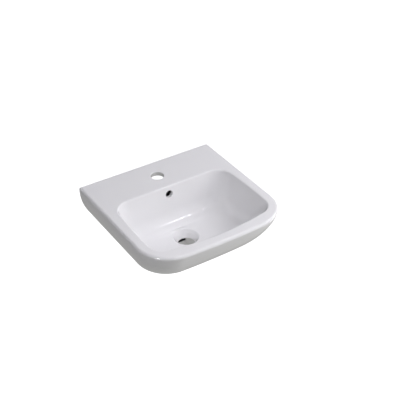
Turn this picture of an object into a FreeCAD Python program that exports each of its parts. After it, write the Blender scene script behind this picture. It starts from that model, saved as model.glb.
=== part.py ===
"""Wall hung basin: one glazed ceramic piece and the two fixing sets that hold it on a wall.

Row frame, in millimetres: +X to the right, the front towards -Y, +Z up. The wall is the plane
y = 0. The origin is the middle of the two wall fixings, so the flat top lies fixing_drop above it.
"""
import FreeCAD, Part
import math
import os
import Sketcher

# Driving dimensions, in millimetres, degrees where the name says angle.
SIZES = {
    # Outer shape of the ceramic, seen from above and down its sides
    "basin_width": 400,
    "basin_depth": 390,
    "front_corner_radius": 91,
    "front_bow_radius": 2000,
    "corner_tightening": 0.27,
    "hull_height": 126,
    "side_arc_radius": 147,
    "front_lean_angle": 22,
    "front_arc_radius": 300,
    "rim_edge_radius": 5.5,
    "hull_foot_radius": 9,
    # Bowl
    "bowl_width": 345,
    "bowl_back_gap": 120,
    "bowl_front_rim": 28.5,
    "bowl_front_bow_radius": 710,
    "bowl_side_radius": 1500,
    "bowl_widest_front_gap": 120,
    "bowl_back_corner": 45,
    "bowl_front_corner": 41,
    "bowl_depth": 108,
    "bowl_floor_radius": 40,
    "floor_end_angle": 87,
    "floor_side_run": 11.5,
    "bowl_side_angle": 9,
    "bowl_back_angle": 5,
    "bowl_front_angle": 27,
    "bowl_lip_radius": 4,
    # Deck and the open back
    "deck_thickness": 13,
    "skirt_wall": 10,
    "bowl_wall": 9.5,
    "pocket_corner_radius": 14,
    "tap_hole_radius": 17.5,
    "tap_hole_gap": 62,
    "tap_edge_radius": 1.5,
    # Waste outlet
    "waste_spare_share": 0.1035,
    "waste_bore_radius": 23,
    "waste_recess_radius": 33.5,
    "waste_recess_depth": 113,
    "waste_shelf_radius": 28,
    "waste_shelf_share": 0.43,
    "waste_bore_length": 26,
    "waste_boss_radius": 37,
    "waste_outlet_depth": 160,
    "boss_edge_radius": 2.5,
    # Overflow
    "overflow_radius": 10,
    "overflow_depth": 25,
    "overflow_crown": 3,
    "overflow_edge_radius": 2,
    "duct_width": 24,
    "duct_gap": 14,
    "duct_wall": 8,
    "duct_outlet_gap": 8,
    # Wall fixings
    "fixing_side_gap": 60,
    "fixing_drop": 70,
    "fixing_hole_radius": 10,
    "flange_thickness": 16,
    "flange_inner_reach": 44,
    "flange_height": 94,
    "fit_gap": 0.3,
    "bolt_radius": 5,
    "bolt_front_reach": 40,
    "bolt_wall_reach": 56,
    "bolt_point_length": 9,
    "bolt_point_radius": 1.5,
    "bolt_chamfer": 1.2,
    "plug_radius": 7,
    "plug_length": 62,
    "plug_nose_radius": 5.6,
    "plug_nose_length": 6,
    "bush_flange_radius": 18,
    "bush_flange_thickness": 4,
    "bush_end_gap": 1,
    "washer_radius": 15,
    "washer_thickness": 2.5,
    "nut_across_flats": 17,
    "nut_height": 8,
    "nut_corner_angle": 30,
}

# Sizes that follow from the others: the fixings stand in from the sides, the foot of the bowl's walls
# ends where their round reaches floor_end_angle, the waste lies in that floor, and its seat and the
# overflow duct keep their places above the outlet.
DERIVED = {
    "fixing_centres": "basin_width - 2 * fixing_side_gap",
    "flange_inner_gap": "fixing_centres / 2 - flange_inner_reach",
    "bowl_widest_gap": "basin_depth - bowl_widest_front_gap",
    "floor_arc_top": "bowl_depth - bowl_floor_radius",
    "floor_back_gap": "bowl_back_gap + floor_arc_top * tan(bowl_back_angle)"
                      " + bowl_floor_radius * (1 / cos(bowl_back_angle) - cos(floor_end_angle))",
    "floor_front_gap": "basin_depth - bowl_front_rim - floor_arc_top * tan(bowl_front_angle)"
                       " - bowl_floor_radius * (1 / cos(bowl_front_angle) - cos(floor_end_angle))",
    "bowl_low_corner": "(floor_front_gap - floor_back_gap - floor_side_run) / 2",
    "waste_gap": "floor_back_gap + waste_recess_radius + waste_spare_share"
                 " * (floor_front_gap - floor_back_gap - 2 * waste_recess_radius)",
    "waste_seat_depth": "waste_outlet_depth - waste_bore_length",
    "waste_shelf_depth": "waste_recess_depth"
                         " + waste_shelf_share * (waste_seat_depth - waste_recess_depth)",
    "duct_drop": "waste_outlet_depth - duct_outlet_gap - hull_height",
}

HULL_LEVELS = 8
POCKET_LEVELS = 4
WALL_LEVELS = (0, 0.32, 0.64)
FLOOR_ARC_ANGLES = (28, 46, 62, 76, "Sizes.floor_end_angle")
DRAIN_SHARE = 0.86
DRAIN_CORNER_SHARE = 0.8
DRAIN_SIDE_SHARE = 1.6
OVERRUN = 4
SIDES = {"left": -1, "right": 1}

doc = FreeCAD.newDocument("wall_hung_basin")
sheet = doc.addObject("Spreadsheet::Sheet", "Sizes")
formulas = {alias: f"={formula}" for alias, formula in DERIVED.items()}
for row, (alias, value) in enumerate((SIZES | formulas).items(), start=1):
    sheet.set(f"A{row}", alias)
    sheet.set(f"B{row}", str(value))
    sheet.setAlias(f"B{row}", alias)
doc.recompute()


def number(expression):
    """The value of an expression on the sheet."""
    result = sheet.evalExpression(str(expression))
    return float(getattr(result, "Value", result))


def new_body(name):
    """An empty body whose label is the node's name."""
    body = doc.addObject("PartDesign::Body", name)
    body.Label = name
    return body


def plane_of(body, role):
    """One of the body's own origin planes."""
    return next(item for item in body.Origin.OriginFeatures if item.Role == role)


def new_sketch(body, name, role="XY_Plane", offsets=None):
    """A sketch on an origin plane, moved by expressions such as {"z": "..."}."""
    sketch = body.newObject("Sketcher::SketchObject", name)
    sketch.AttachmentSupport = [(plane_of(body, role), "")]
    sketch.MapMode = "FlatFace"
    for axis, expression in (offsets or {}).items():
        sketch.setExpression(f"AttachmentOffset.Base.{axis}", expression)
    return sketch


def named(sketch, constraint, name, expression):
    """Adds a constraint and ties its value to an expression."""
    index = sketch.addConstraint(constraint)
    sketch.renameConstraint(index, name)
    sketch.setExpression(f"Constraints.{name}", expression)


def vector(x, y, z=0.0):
    """A point."""
    return FreeCAD.Vector(x, y, z)


def arc(centre, radius, start_angle, end_angle):
    """A circular arc for a sketch, counter-clockwise, with its angles in radians."""
    circle = Part.Circle(centre, vector(0, 0, 1), radius)
    return Part.ArcOfCircle(circle, start_angle, end_angle)


START, END, CENTRE = range(1, 4)
AXIS_X, AXIS_Y = range(-1, -3, -1)


def loop_tangent(sketch, order):
    """Joins each (edge, its last end) to the next (edge, its first end), tangent."""
    for (edge, last), (following, first) in order:
        sketch.addConstraint(Sketcher.Constraint("Tangent", edge, last, following, first))


def round_front_outline(body, name, top_drop, half_width, reach, corner, bow, back="0"):
    """A flat-backed outline with round front corners and a slightly bowed front."""
    sketch = new_sketch(body, name, offsets={"z": f"Sizes.fixing_drop - ({top_drop})"})
    half, depth, radius, bow_radius, rear = (
        number(item) for item in (half_width, reach, corner, bow, back))
    corner_x = half - radius
    bow_y = bow_radius - depth
    corner_y = bow_y - math.sqrt((bow_radius - radius) ** 2 - corner_x ** 2)
    turn = math.asin(corner_x / (bow_radius - radius))
    down = -math.pi / 2
    sketch.addGeometry(Part.LineSegment(vector(-half, rear), vector(half, rear)))
    sketch.addGeometry(Part.LineSegment(vector(half, rear), vector(half, corner_y)))
    sketch.addGeometry(arc(vector(corner_x, corner_y), radius, down + turn, 0))
    sketch.addGeometry(arc(vector(0, bow_y), bow_radius, down - turn, down + turn))
    sketch.addGeometry(arc(vector(-corner_x, corner_y), radius, math.pi, 1.5 * math.pi - turn))
    sketch.addGeometry(Part.LineSegment(vector(-half, corner_y), vector(-half, rear)))
    sketch.addConstraint(Sketcher.Constraint("Coincident", 0, END, 1, START))
    sketch.addConstraint(Sketcher.Constraint("Coincident", 5, END, 0, START))
    loop_tangent(sketch, [((1, END), (2, END)), ((2, START), (3, END)),
                          ((3, START), (4, END)), ((4, START), (5, START))])
    sketch.addConstraint(Sketcher.Constraint("Vertical", 1))
    sketch.addConstraint(Sketcher.Constraint("Vertical", 5))
    sketch.addConstraint(Sketcher.Constraint("Symmetric", 0, START, 0, END, AXIS_Y))
    sketch.addConstraint(Sketcher.Constraint("Equal", 2, 4))
    sketch.addConstraint(Sketcher.Constraint("PointOnObject", 3, CENTRE, AXIS_Y))
    named(sketch, Sketcher.Constraint("DistanceX", 0, START, 0, END, 2 * half),
          "width", f"2 * ({half_width})")
    named(sketch, Sketcher.Constraint("DistanceY", AXIS_X, START, 0, END, rear), "rear", back)
    named(sketch, Sketcher.Constraint("Radius", 2, radius), "corner", corner)
    named(sketch, Sketcher.Constraint("Radius", 3, bow_radius), "bow", bow)
    named(sketch, Sketcher.Constraint("DistanceY", AXIS_X, START, 3, CENTRE, bow_y),
          "bow_centre", f"({bow}) - ({reach})")
    return sketch


def corner_between(side_centre, side_reach, bow_centre, bow_reach):
    """The front point at one distance from a side's centre and another from the front's centre."""
    between = bow_centre - side_centre
    along = (side_reach ** 2 - bow_reach ** 2 + between.Length ** 2) / (2 * between.Length)
    across = math.sqrt(side_reach ** 2 - along ** 2)
    ahead = between.normalize()
    return side_centre + ahead * along + vector(ahead.y, -ahead.x) * across


def bowl_outline(body, name, top_drop, half_width, back_gap, front_gap, widest_gap,
                 side, back_corner, front_corner):
    """A bowl's outline: straight back, bulging sides, bowed front, four round corners."""
    sketch = new_sketch(body, name, offsets={"z": f"Sizes.fixing_drop - ({top_drop})"})
    bow = "Sizes.bowl_front_bow_radius"
    half, rear, front, widest, side_radius, rear_radius, front_radius, bow_radius = (
        number(item) for item in (half_width, back_gap, front_gap, widest_gap, side,
                                  back_corner, front_corner, bow))
    side_x = half - side_radius
    rear_y = rear + rear_radius
    rear_x = side_x + math.sqrt((side_radius - rear_radius) ** 2 - (widest - rear_y) ** 2)
    rear_turn = math.asin((widest - rear_y) / (side_radius - rear_radius))
    side_centre, bow_centre = vector(side_x, -widest), vector(0, bow_radius - front)
    corner = corner_between(side_centre, side_radius - front_radius,
                            bow_centre, bow_radius - front_radius)
    front_turn = math.atan2(side_centre.y - corner.y, corner.x - side_centre.x)
    bow_turn = math.atan2(corner.x, bow_centre.y - corner.y)
    quarter = math.pi / 2
    for mirror in (1, -1):
        rear_arc = (rear_turn, quarter) if mirror > 0 else (quarter, 2 * quarter - rear_turn)
        side_arc = ((-front_turn, rear_turn) if mirror > 0
                    else (2 * quarter - rear_turn, 2 * quarter + front_turn))
        front_arc = ((bow_turn - quarter, -front_turn) if mirror > 0
                     else (2 * quarter + front_turn, 3 * quarter - bow_turn))
        sketch.addGeometry(arc(vector(mirror * rear_x, -rear_y), rear_radius, *rear_arc))
        sketch.addGeometry(arc(vector(mirror * side_x, -widest), side_radius, *side_arc))
        sketch.addGeometry(arc(vector(mirror * corner.x, corner.y), front_radius, *front_arc))
    sketch.addGeometry(Part.LineSegment(vector(-rear_x, -rear), vector(rear_x, -rear)))
    sketch.addGeometry(arc(bow_centre, bow_radius, -quarter - bow_turn, bow_turn - quarter))
    right_rear, right_side, right_front = range(3)
    left_rear, left_side, left_front = range(3, 6)
    rear_line, front_bow = range(6, 8)
    loop_tangent(sketch, [((rear_line, END), (right_rear, END)),
                          ((right_rear, START), (right_side, END)),
                          ((right_side, START), (right_front, END)),
                          ((right_front, START), (front_bow, END)),
                          ((front_bow, START), (left_front, END)),
                          ((left_front, START), (left_side, END)),
                          ((left_side, START), (left_rear, END)),
                          ((left_rear, START), (rear_line, START))])
    for edge in (rear_line, front_bow):
        sketch.addConstraint(Sketcher.Constraint("Symmetric", edge, START, edge, END, AXIS_Y))
    for right, left in ((right_rear, left_rear), (right_side, left_side), (right_front, left_front)):
        sketch.addConstraint(Sketcher.Constraint("Equal", right, left))
    named(sketch, Sketcher.Constraint("Radius", right_rear, rear_radius),
          "back_corner", back_corner)
    named(sketch, Sketcher.Constraint("Radius", right_side, side_radius), "side", side)
    named(sketch, Sketcher.Constraint("Radius", right_front, front_radius),
          "front_corner", front_corner)
    named(sketch, Sketcher.Constraint("DistanceX", AXIS_X, START, right_side, CENTRE, side_x),
          "side_centre", f"({half_width}) - ({side})")
    named(sketch, Sketcher.Constraint("DistanceY", right_side, CENTRE, AXIS_X, START, widest),
          "widest", widest_gap)
    named(sketch, Sketcher.Constraint("DistanceY", rear_line, START, AXIS_X, START, rear),
          "back_gap", back_gap)
    named(sketch, Sketcher.Constraint("Radius", front_bow, bow_radius), "front_bow", bow)
    named(sketch, Sketcher.Constraint("DistanceY", AXIS_X, START, front_bow, CENTRE, bow_centre.y),
          "bow_centre", f"{bow} - ({front_gap})")
    return sketch


def loft(body, kind, name, sections, ruled=False):
    """An additive or subtractive loft through sketches."""
    feature = body.newObject(f"PartDesign::{kind}Loft", name)
    feature.Profile = (sections[0], [""])
    feature.Sections = [(section, [""]) for section in sections[1:]]
    feature.Ruled = ruled
    doc.recompute()
    return feature


def polygon(sketch, points):
    """A closed outline of straight lines whose corners are tied to (name, x, y) expressions."""
    spots = [vector(number(x), number(y)) for _, x, y in points]
    count = len(points)
    for index in range(count):
        sketch.addGeometry(Part.LineSegment(spots[index], spots[(index + 1) % count]))
    for index in range(count):
        sketch.addConstraint(
            Sketcher.Constraint("Coincident", index, END, (index + 1) % count, START))
    for index, (name, x, y) in enumerate(points):
        for axis, expression, value in (("X", x, spots[index].x), ("Y", y, spots[index].y)):
            constraint = Sketcher.Constraint(
                f"Distance{axis}", AXIS_X, START, index, START, value)
            named(sketch, constraint, f"{name}_{axis.lower()}", expression)


def circle(sketch, name, x, y, radius):
    """A circle whose centre and radius are tied to expressions."""
    index = sketch.addGeometry(
        Part.Circle(vector(number(x), number(y)), vector(0, 0, 1), number(radius)))
    named(sketch, Sketcher.Constraint("DistanceX", AXIS_X, START, index, CENTRE, number(x)),
          f"{name}_x", x)
    named(sketch, Sketcher.Constraint("DistanceY", AXIS_X, START, index, CENTRE, number(y)),
          f"{name}_y", y)
    named(sketch, Sketcher.Constraint("Radius", index, number(radius)), f"{name}_radius", radius)


def extrude(body, kind, name, sketch, length, reverse=False, both_ways=False):
    """A pad or pocket whose length is tied to an expression."""
    feature = body.newObject(f"PartDesign::{kind}", name)
    feature.Profile = (sketch, [""])
    feature.Length = number(length)
    feature.setExpression("Length", length)
    feature.Reversed = reverse
    if both_ways:
        feature.SideType = "Symmetric"
    doc.recompute()
    return feature


def turn_round(body, kind, name, sketch):
    """A revolution or groove about the sketch's own vertical axis."""
    feature = body.newObject(f"PartDesign::{kind}", name)
    feature.Profile = (sketch, [""])
    feature.ReferenceAxis = (sketch, ["V_Axis"])
    feature.Angle = 360
    doc.recompute()
    return feature


def round_edges(body, name, base, radius, wanted):
    """Fillets those edges of a feature that a test picks out."""
    edges = [f"Edge{index}"
             for index, edge in enumerate(base.Shape.Edges, start=1) if wanted(edge)]
    if not edges:
        raise RuntimeError(f"{name} finds no edge to round")
    feature = body.newObject("PartDesign::Fillet", name)
    feature.Base = (base, edges)
    feature.Radius = number(radius)
    feature.setExpression("Radius", radius)
    doc.recompute()
    return feature


def edge_heights(edge):
    """The lowest and highest level of an edge below the top of the basin, as depths."""
    top = number("Sizes.fixing_drop")
    box = edge.BoundBox
    return top - box.ZMax, top - box.ZMin


def at_depth(edge, depth, slack=0.05):
    """True for an edge that lies level at a depth below the top."""
    high, low = edge_heights(edge)
    return abs(high - depth) < slack and abs(low - depth) < slack


def is_circle(edge, radius):
    """True for an edge on a circle of this radius."""
    return getattr(edge.Curve, "Radius", None) is not None and (
        abs(edge.Curve.Radius - number(radius)) < 0.01)


def level_middle(edge, depth, radius):
    """True for a ring about X = 0 whose middle lies at a depth and whose size is twice a radius."""
    box = edge.BoundBox
    middle = number("Sizes.fixing_drop") - number(depth)
    return (abs(box.Center.x) < 0.1 and abs(box.Center.z - middle) < 0.3
            and abs(box.XLength - 2 * number(radius)) < 0.3)


# The ceramic's outline at a depth below the top, as expressions.

def side_inset(depth):
    """How far the outer side has curved inwards at a depth; it is upright under the rim's round."""
    below = f"(({depth}) - Sizes.rim_edge_radius)"
    return f"(Sizes.side_arc_radius - sqrt(Sizes.side_arc_radius^2 - {below}^2))"


def front_inset(depth):
    """How far the leaning front has curved inwards at a depth, from the rounded rim's reach."""
    below = f"(({depth}) - Sizes.rim_edge_radius)"
    sine = f"(Sizes.front_arc_radius * sin(Sizes.front_lean_angle) + {below})"
    rounded_off = "Sizes.rim_edge_radius * (1 / cos(Sizes.front_lean_angle) - 1)"
    return (f"(Sizes.front_arc_radius * cos(Sizes.front_lean_angle)"
            f" - sqrt(Sizes.front_arc_radius^2 - {sine}^2) - {rounded_off})")


def hull_section(body, index, depth):
    """The outer outline of the ceramic at a depth."""
    side, front = side_inset(depth), front_inset(depth)
    return round_front_outline(
        body, f"HullSection{index}", depth,
        half_width=f"Sizes.basin_width / 2 - {side}",
        reach=f"Sizes.basin_depth - {front}",
        corner=f"Sizes.front_corner_radius - Sizes.corner_tightening * ({side} + {front}) / 2",
        bow="Sizes.front_bow_radius")


def wall_profile(angle, depth):
    """Inset of a bowl wall at a depth: a lean, then the round into the floor."""
    arc_top = "Sizes.floor_arc_top"
    start = f"({arc_top} + Sizes.bowl_floor_radius * sin({angle}))"
    lean = f"({start} * tan({angle}))"
    if number(depth) <= number(start):
        return f"(({depth}) * tan({angle}))"
    return (f"({lean} + Sizes.bowl_floor_radius * cos({angle})"
            f" - sqrt(Sizes.bowl_floor_radius^2 - (({depth}) - {arc_top})^2))")


def bowl_section(body, index, depth):
    """The outline of the bowl at a depth."""
    low = f"(({depth}) / Sizes.bowl_depth)"
    back_growth = f"(Sizes.bowl_low_corner - Sizes.bowl_back_corner) * {low}"
    front_growth = f"(Sizes.bowl_low_corner - Sizes.bowl_front_corner) * {low}"
    side = wall_profile("Sizes.bowl_side_angle", depth)
    back = wall_profile("Sizes.bowl_back_angle", depth)
    front = wall_profile("Sizes.bowl_front_angle", depth)
    return bowl_outline(
        body, f"BowlSection{index}", depth,
        half_width=f"Sizes.bowl_width / 2 - {side}",
        back_gap=f"Sizes.bowl_back_gap + {back}",
        front_gap=f"Sizes.basin_depth - Sizes.bowl_front_rim - {front}",
        widest_gap=f"Sizes.bowl_widest_gap - {front} / 2",
        side="Sizes.bowl_side_radius",
        back_corner=f"Sizes.bowl_back_corner + {back_growth}",
        front_corner=f"Sizes.bowl_front_corner + {front_growth}")


def bowl_drain_section(body, index):
    """The small outline round the waste recess where the floor ends."""
    reach = f"(Sizes.waste_recess_radius * {DRAIN_SHARE})"
    corner = f"({reach} * {DRAIN_CORNER_SHARE})"
    return bowl_outline(
        body, f"BowlSection{index}", "Sizes.waste_recess_depth",
        half_width=reach,
        back_gap=f"Sizes.waste_gap - {reach}",
        front_gap=f"Sizes.waste_gap + {reach}",
        widest_gap="Sizes.waste_gap",
        side=f"({reach} * {DRAIN_SIDE_SHARE})",
        back_corner=corner,
        front_corner=corner)


def bowl_back_face(depth):
    """Distance from the wall to the rear face of the bowl's back wall at a depth."""
    return (f"(Sizes.bowl_back_gap + ({depth}) * tan(Sizes.bowl_back_angle)"
            f" - Sizes.bowl_wall / cos(Sizes.bowl_back_angle))")


def pocket_section(body, index, depth):
    """The outline of the open space behind the bowl at a depth."""
    return round_front_outline(
        body, f"PocketSection{index}", depth,
        half_width=f"Sizes.basin_width / 2 - {side_inset(depth)} - Sizes.skirt_wall",
        reach=bowl_back_face(depth),
        corner="Sizes.pocket_corner_radius",
        bow="Sizes.front_bow_radius",
        back=str(OVERRUN))


def build_hull(body):
    """The solid outer form with its rounded rim and foot."""
    depths = [f"Sizes.hull_height * {index} / {HULL_LEVELS - 1}" for index in range(HULL_LEVELS)]
    sections = [hull_section(body, index, depth) for index, depth in enumerate(depths)]
    hull = loft(body, "Additive", "Hull", sections)

    def on_rim(edge):
        return at_depth(edge, 0) and edge.BoundBox.YMin < -1

    def on_foot(edge):
        return at_depth(edge, number("Sizes.hull_height")) and edge.BoundBox.YMin < -1

    rim = round_edges(body, "RimEdge", hull, "Sizes.rim_edge_radius", on_rim)
    return round_edges(body, "FootEdge", rim, "Sizes.hull_foot_radius", on_foot)


def build_back(body):
    """The open space under the deck, and the two flanges that stand against the wall."""
    lowest = f"(Sizes.hull_height + {OVERRUN})"
    depths = [f"Sizes.deck_thickness + ({lowest} - Sizes.deck_thickness) * {index / (POCKET_LEVELS - 1)}"
              for index in range(POCKET_LEVELS)]
    sections = [pocket_section(body, index, depth) for index, depth in enumerate(depths)]
    loft(body, "Subtractive", "BackPocket", sections)
    for side, sign in SIDES.items():
        build_flange(body, side, sign)


def build_flange(body, side, sign):
    """One flange: a plate at the wall from the skirt to the open middle."""
    sketch = new_sketch(body, f"{side.title()}FlangeOutline", "XZ_Plane")
    skirt_middle = "Sizes.skirt_wall / 2"
    bottom = "Sizes.flange_height"
    levels = ("Sizes.deck_thickness / 2", f"{bottom} / 2", bottom)
    outer = [(f"outer{index}",
              f"{sign} * (Sizes.basin_width / 2 - {side_inset(depth)} - {skirt_middle})",
              f"Sizes.fixing_drop - ({depth})") for index, depth in enumerate(levels)]
    inner = [(f"inner{index}", f"{sign} * Sizes.flange_inner_gap", f"Sizes.fixing_drop - ({depth})")
             for index, depth in enumerate((levels[2], levels[0]))]
    polygon(sketch, outer + inner)
    extrude(body, "Pad", f"{side.title()}Flange", sketch, "Sizes.flange_thickness")


def build_duct_case(body):
    """The raised casing of the overflow duct, down the bowl's back and under its floor."""
    sketch = new_sketch(body, "DuctCaseOutline", "YZ_Plane")
    rear = f"(Sizes.duct_gap + Sizes.duct_wall - {bowl_back_face('Sizes.deck_thickness')})"
    deep = "(Sizes.hull_height + Sizes.duct_drop)"
    top = "Sizes.fixing_drop - Sizes.deck_thickness / 2"
    polygon(sketch, [
        ("top_front", f"{rear} - Sizes.duct_gap - Sizes.duct_wall - Sizes.bowl_wall / 2", top),
        ("low_front", "-Sizes.waste_gap", f"Sizes.fixing_drop - Sizes.hull_height + {OVERRUN}"),
        ("foot_front", "-Sizes.waste_gap", f"Sizes.fixing_drop - {deep}"),
        ("foot_rear", f"{rear} - 2 * Sizes.duct_wall", f"Sizes.fixing_drop - {deep}"),
        ("heel", rear, f"Sizes.fixing_drop - {deep} + 2 * Sizes.duct_wall"),
        ("top_rear", rear, top)])
    extrude(body, "Pad", "DuctCase", sketch, "Sizes.duct_width + 2 * Sizes.duct_wall",
            both_ways=True)


def build_duct(body):
    """The overflow duct itself, from the overflow hole to the waste outlet."""
    sketch = new_sketch(body, "DuctOutline", "YZ_Plane")
    rear = f"(Sizes.duct_gap - {bowl_back_face('Sizes.deck_thickness')})"
    first = "(Sizes.overflow_depth - Sizes.overflow_radius - Sizes.overflow_crown)"
    deep = "(Sizes.hull_height + Sizes.duct_drop - Sizes.duct_wall)"
    roof = "(Sizes.waste_seat_depth + Sizes.duct_wall / 4)"
    polygon(sketch, [
        ("top_front", f"-{bowl_back_face(first)}", f"Sizes.fixing_drop - {first}"),
        ("bend", f"-{bowl_back_face(roof)}", f"Sizes.fixing_drop - {roof}"),
        ("roof_end", "-Sizes.waste_gap", f"Sizes.fixing_drop - {roof}"),
        ("floor_end", "-Sizes.waste_gap", f"Sizes.fixing_drop - {deep}"),
        ("floor_start", f"{rear} - 2 * Sizes.duct_wall", f"Sizes.fixing_drop - {deep}"),
        ("heel", rear, f"Sizes.fixing_drop - {deep} + 2 * Sizes.duct_wall"),
        ("top_rear", rear, f"Sizes.fixing_drop - {first}")])
    extrude(body, "Pocket", "Duct", sketch, "Sizes.duct_width", both_ways=True)


def build_waste_boss(body):
    """The thick round boss under the floor that the waste outlet passes through."""
    sketch = new_sketch(body, "WasteBossOutline", "YZ_Plane", {"x": "-Sizes.waste_gap"})
    high = "Sizes.fixing_drop - Sizes.waste_recess_depth"
    low = "Sizes.fixing_drop - Sizes.waste_outlet_depth"
    polygon(sketch, [("axis_high", "0", high), ("axis_low", "0", low),
                     ("rim_low", "Sizes.waste_boss_radius", low),
                     ("rim_high", "Sizes.waste_boss_radius", high)])
    boss = turn_round(body, "Revolution", "WasteBoss", sketch)

    def at_mouth(edge):
        return at_depth(edge, number("Sizes.waste_outlet_depth"))

    return round_edges(body, "WasteBossEdge", boss, "Sizes.boss_edge_radius", at_mouth)


def build_bowl(body):
    """The bowl: leaning walls, a wide round into a floor that falls to the waste."""
    arc_top = "Sizes.floor_arc_top"
    depths = [f"{arc_top} * {share}" for share in WALL_LEVELS]
    depths += [f"({arc_top} + Sizes.bowl_floor_radius * sin({angle}))" for angle in FLOOR_ARC_ANGLES]
    sections = [bowl_section(body, index, depth) for index, depth in enumerate(depths)]
    bowl = loft(body, "Subtractive", "Bowl", sections)

    def on_lip(edge):
        box = edge.BoundBox
        inside = abs(box.Center.x) < number("Sizes.bowl_width") / 2 + 1
        behind = box.YMax < -number("Sizes.bowl_back_gap") + 1
        ahead = box.YMin > -number("Sizes.basin_depth - Sizes.bowl_front_rim") - 1
        return at_depth(edge, 0) and inside and behind and ahead

    round_edges(body, "BowlLip", bowl, "Sizes.bowl_lip_radius", on_lip)
    floor = [bowl_section(body, "Floor", depths[-1]), bowl_drain_section(body, "Drain")]
    return loft(body, "Subtractive", "FloorFall", floor, ruled=True)


def build_waste(body):
    """The waste outlet: a recess in the floor, a sloping seat and the bore through the boss."""
    sketch = new_sketch(body, "WasteOutline", "YZ_Plane", {"x": "-Sizes.waste_gap"})
    above = "Sizes.fixing_drop - Sizes.bowl_depth / 2"
    recess = "Sizes.fixing_drop - Sizes.waste_recess_depth"
    shelf = "Sizes.fixing_drop - Sizes.waste_shelf_depth"
    seat = "Sizes.fixing_drop - Sizes.waste_seat_depth"
    below = f"Sizes.fixing_drop - Sizes.waste_outlet_depth - {OVERRUN}"
    polygon(sketch, [("axis_high", "0", recess + f" + {OVERRUN}"),
                     ("axis_low", "0", below),
                     ("bore_low", "Sizes.waste_bore_radius", below),
                     ("bore_high", "Sizes.waste_bore_radius", seat),
                     ("shelf", "Sizes.waste_shelf_radius", shelf),
                     ("recess_low", "Sizes.waste_recess_radius", recess),
                     ("recess_high", "Sizes.waste_recess_radius", recess + f" + {OVERRUN}")])
    return turn_round(body, "Groove", "Waste", sketch)


def build_holes(body):
    """The tap hole, the overflow hole and the two holes for the wall fixings."""
    top = new_sketch(body, "TapHoleOutline", offsets={"z": "Sizes.fixing_drop"})
    circle(top, "tap", "0", "-Sizes.tap_hole_gap", "Sizes.tap_hole_radius")
    extrude(body, "Pocket", "TapHole", top, f"Sizes.deck_thickness + {OVERRUN}")

    front = new_sketch(body, "OverflowOutline", "XZ_Plane",
                       {"z": f"{bowl_back_face('Sizes.overflow_depth')} - Sizes.duct_gap / 2"})
    circle(front, "overflow", "0", "Sizes.fixing_drop - Sizes.overflow_depth",
           "Sizes.overflow_radius")
    extrude(body, "Pocket", "Overflow", front, "Sizes.bowl_wall * 4", reverse=True)

    back = new_sketch(body, "FixingHoleOutline", "XZ_Plane")
    for side, sign in SIDES.items():
        circle(back, side, f"{sign} * Sizes.fixing_centres / 2", "0", "Sizes.fixing_hole_radius")
    holes = extrude(body, "Pocket", "FixingHoles", back,
                    f"Sizes.flange_thickness + {OVERRUN}", reverse=True)

    def round_tap_hole(edge):
        return at_depth(edge, 0) and is_circle(edge, "Sizes.tap_hole_radius")

    def round_overflow(edge):
        in_bowl = edge.BoundBox.YMin < -number(bowl_back_face("Sizes.overflow_depth"))
        return in_bowl and level_middle(edge, "Sizes.overflow_depth", "Sizes.overflow_radius")

    tap = round_edges(body, "TapHoleEdge", holes, "Sizes.tap_edge_radius", round_tap_hole)
    return round_edges(body, "OverflowEdge", tap, "Sizes.overflow_edge_radius", round_overflow)


def build_basin():
    """The one ceramic piece."""
    body = new_body("basin_body")
    build_hull(body)
    build_back(body)
    build_duct_case(body)
    build_waste_boss(body)
    build_bowl(body)
    build_waste(body)
    build_duct(body)
    build_holes(body)
    return body


def turned_part(name, side, points):
    """A round part of one fixing, turned about its axis; +Y of the sketch is the wall side."""
    body = new_body(f"{side}_{name}")
    title = body.Label.title().replace("_", "")
    sketch = new_sketch(body, f"{title}Outline")
    polygon(sketch, points)
    turn_round(body, "Revolution", f"{title}Turned", sketch)
    body.setExpression("Placement.Base.x", f"{SIDES[side]} * Sizes.fixing_centres / 2")
    return body


def build_bolt(side):
    """A hanger bolt: screw end in the wall, machine thread through the flange."""
    tip = "Sizes.bolt_wall_reach"
    end = "-Sizes.bolt_front_reach"
    return turned_part("hanger_bolt", side, [
        ("end_axis", "0", end),
        ("end_chamfer", "Sizes.bolt_radius - Sizes.bolt_chamfer", end),
        ("end_edge", "Sizes.bolt_radius", f"{end} + Sizes.bolt_chamfer"),
        ("neck", "Sizes.bolt_radius", f"{tip} - Sizes.bolt_point_length"),
        ("point_edge", "Sizes.bolt_point_radius", tip),
        ("point_axis", "0", tip)])


def build_plug(side):
    """A wall plug: a sleeve in the wall round the screw end."""
    bore = "Sizes.bolt_radius + Sizes.fit_gap"
    return turned_part("wall_plug", side, [
        ("mouth_bore", bore, "0"),
        ("mouth_edge", "Sizes.plug_radius", "0"),
        ("shoulder", "Sizes.plug_radius", "Sizes.plug_length - Sizes.plug_nose_length"),
        ("nose", "Sizes.plug_nose_radius", "Sizes.plug_length"),
        ("nose_bore", bore, "Sizes.plug_length")])


def build_bush(side):
    """A flanged nylon bush that centres the bolt in the ceramic's hole."""
    bore = "Sizes.bolt_radius + Sizes.fit_gap"
    shank = "Sizes.fixing_hole_radius - Sizes.fit_gap"
    seat = "-Sizes.flange_thickness"
    face = f"{seat} - Sizes.bush_flange_thickness"
    return turned_part("flanged_bush", side, [
        ("bore_front", bore, face),
        ("flange_front", "Sizes.bush_flange_radius", face),
        ("flange_back", "Sizes.bush_flange_radius", seat),
        ("root", shank, seat),
        ("shank_back", shank, "-Sizes.bush_end_gap"),
        ("bore_back", bore, "-Sizes.bush_end_gap")])


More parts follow.
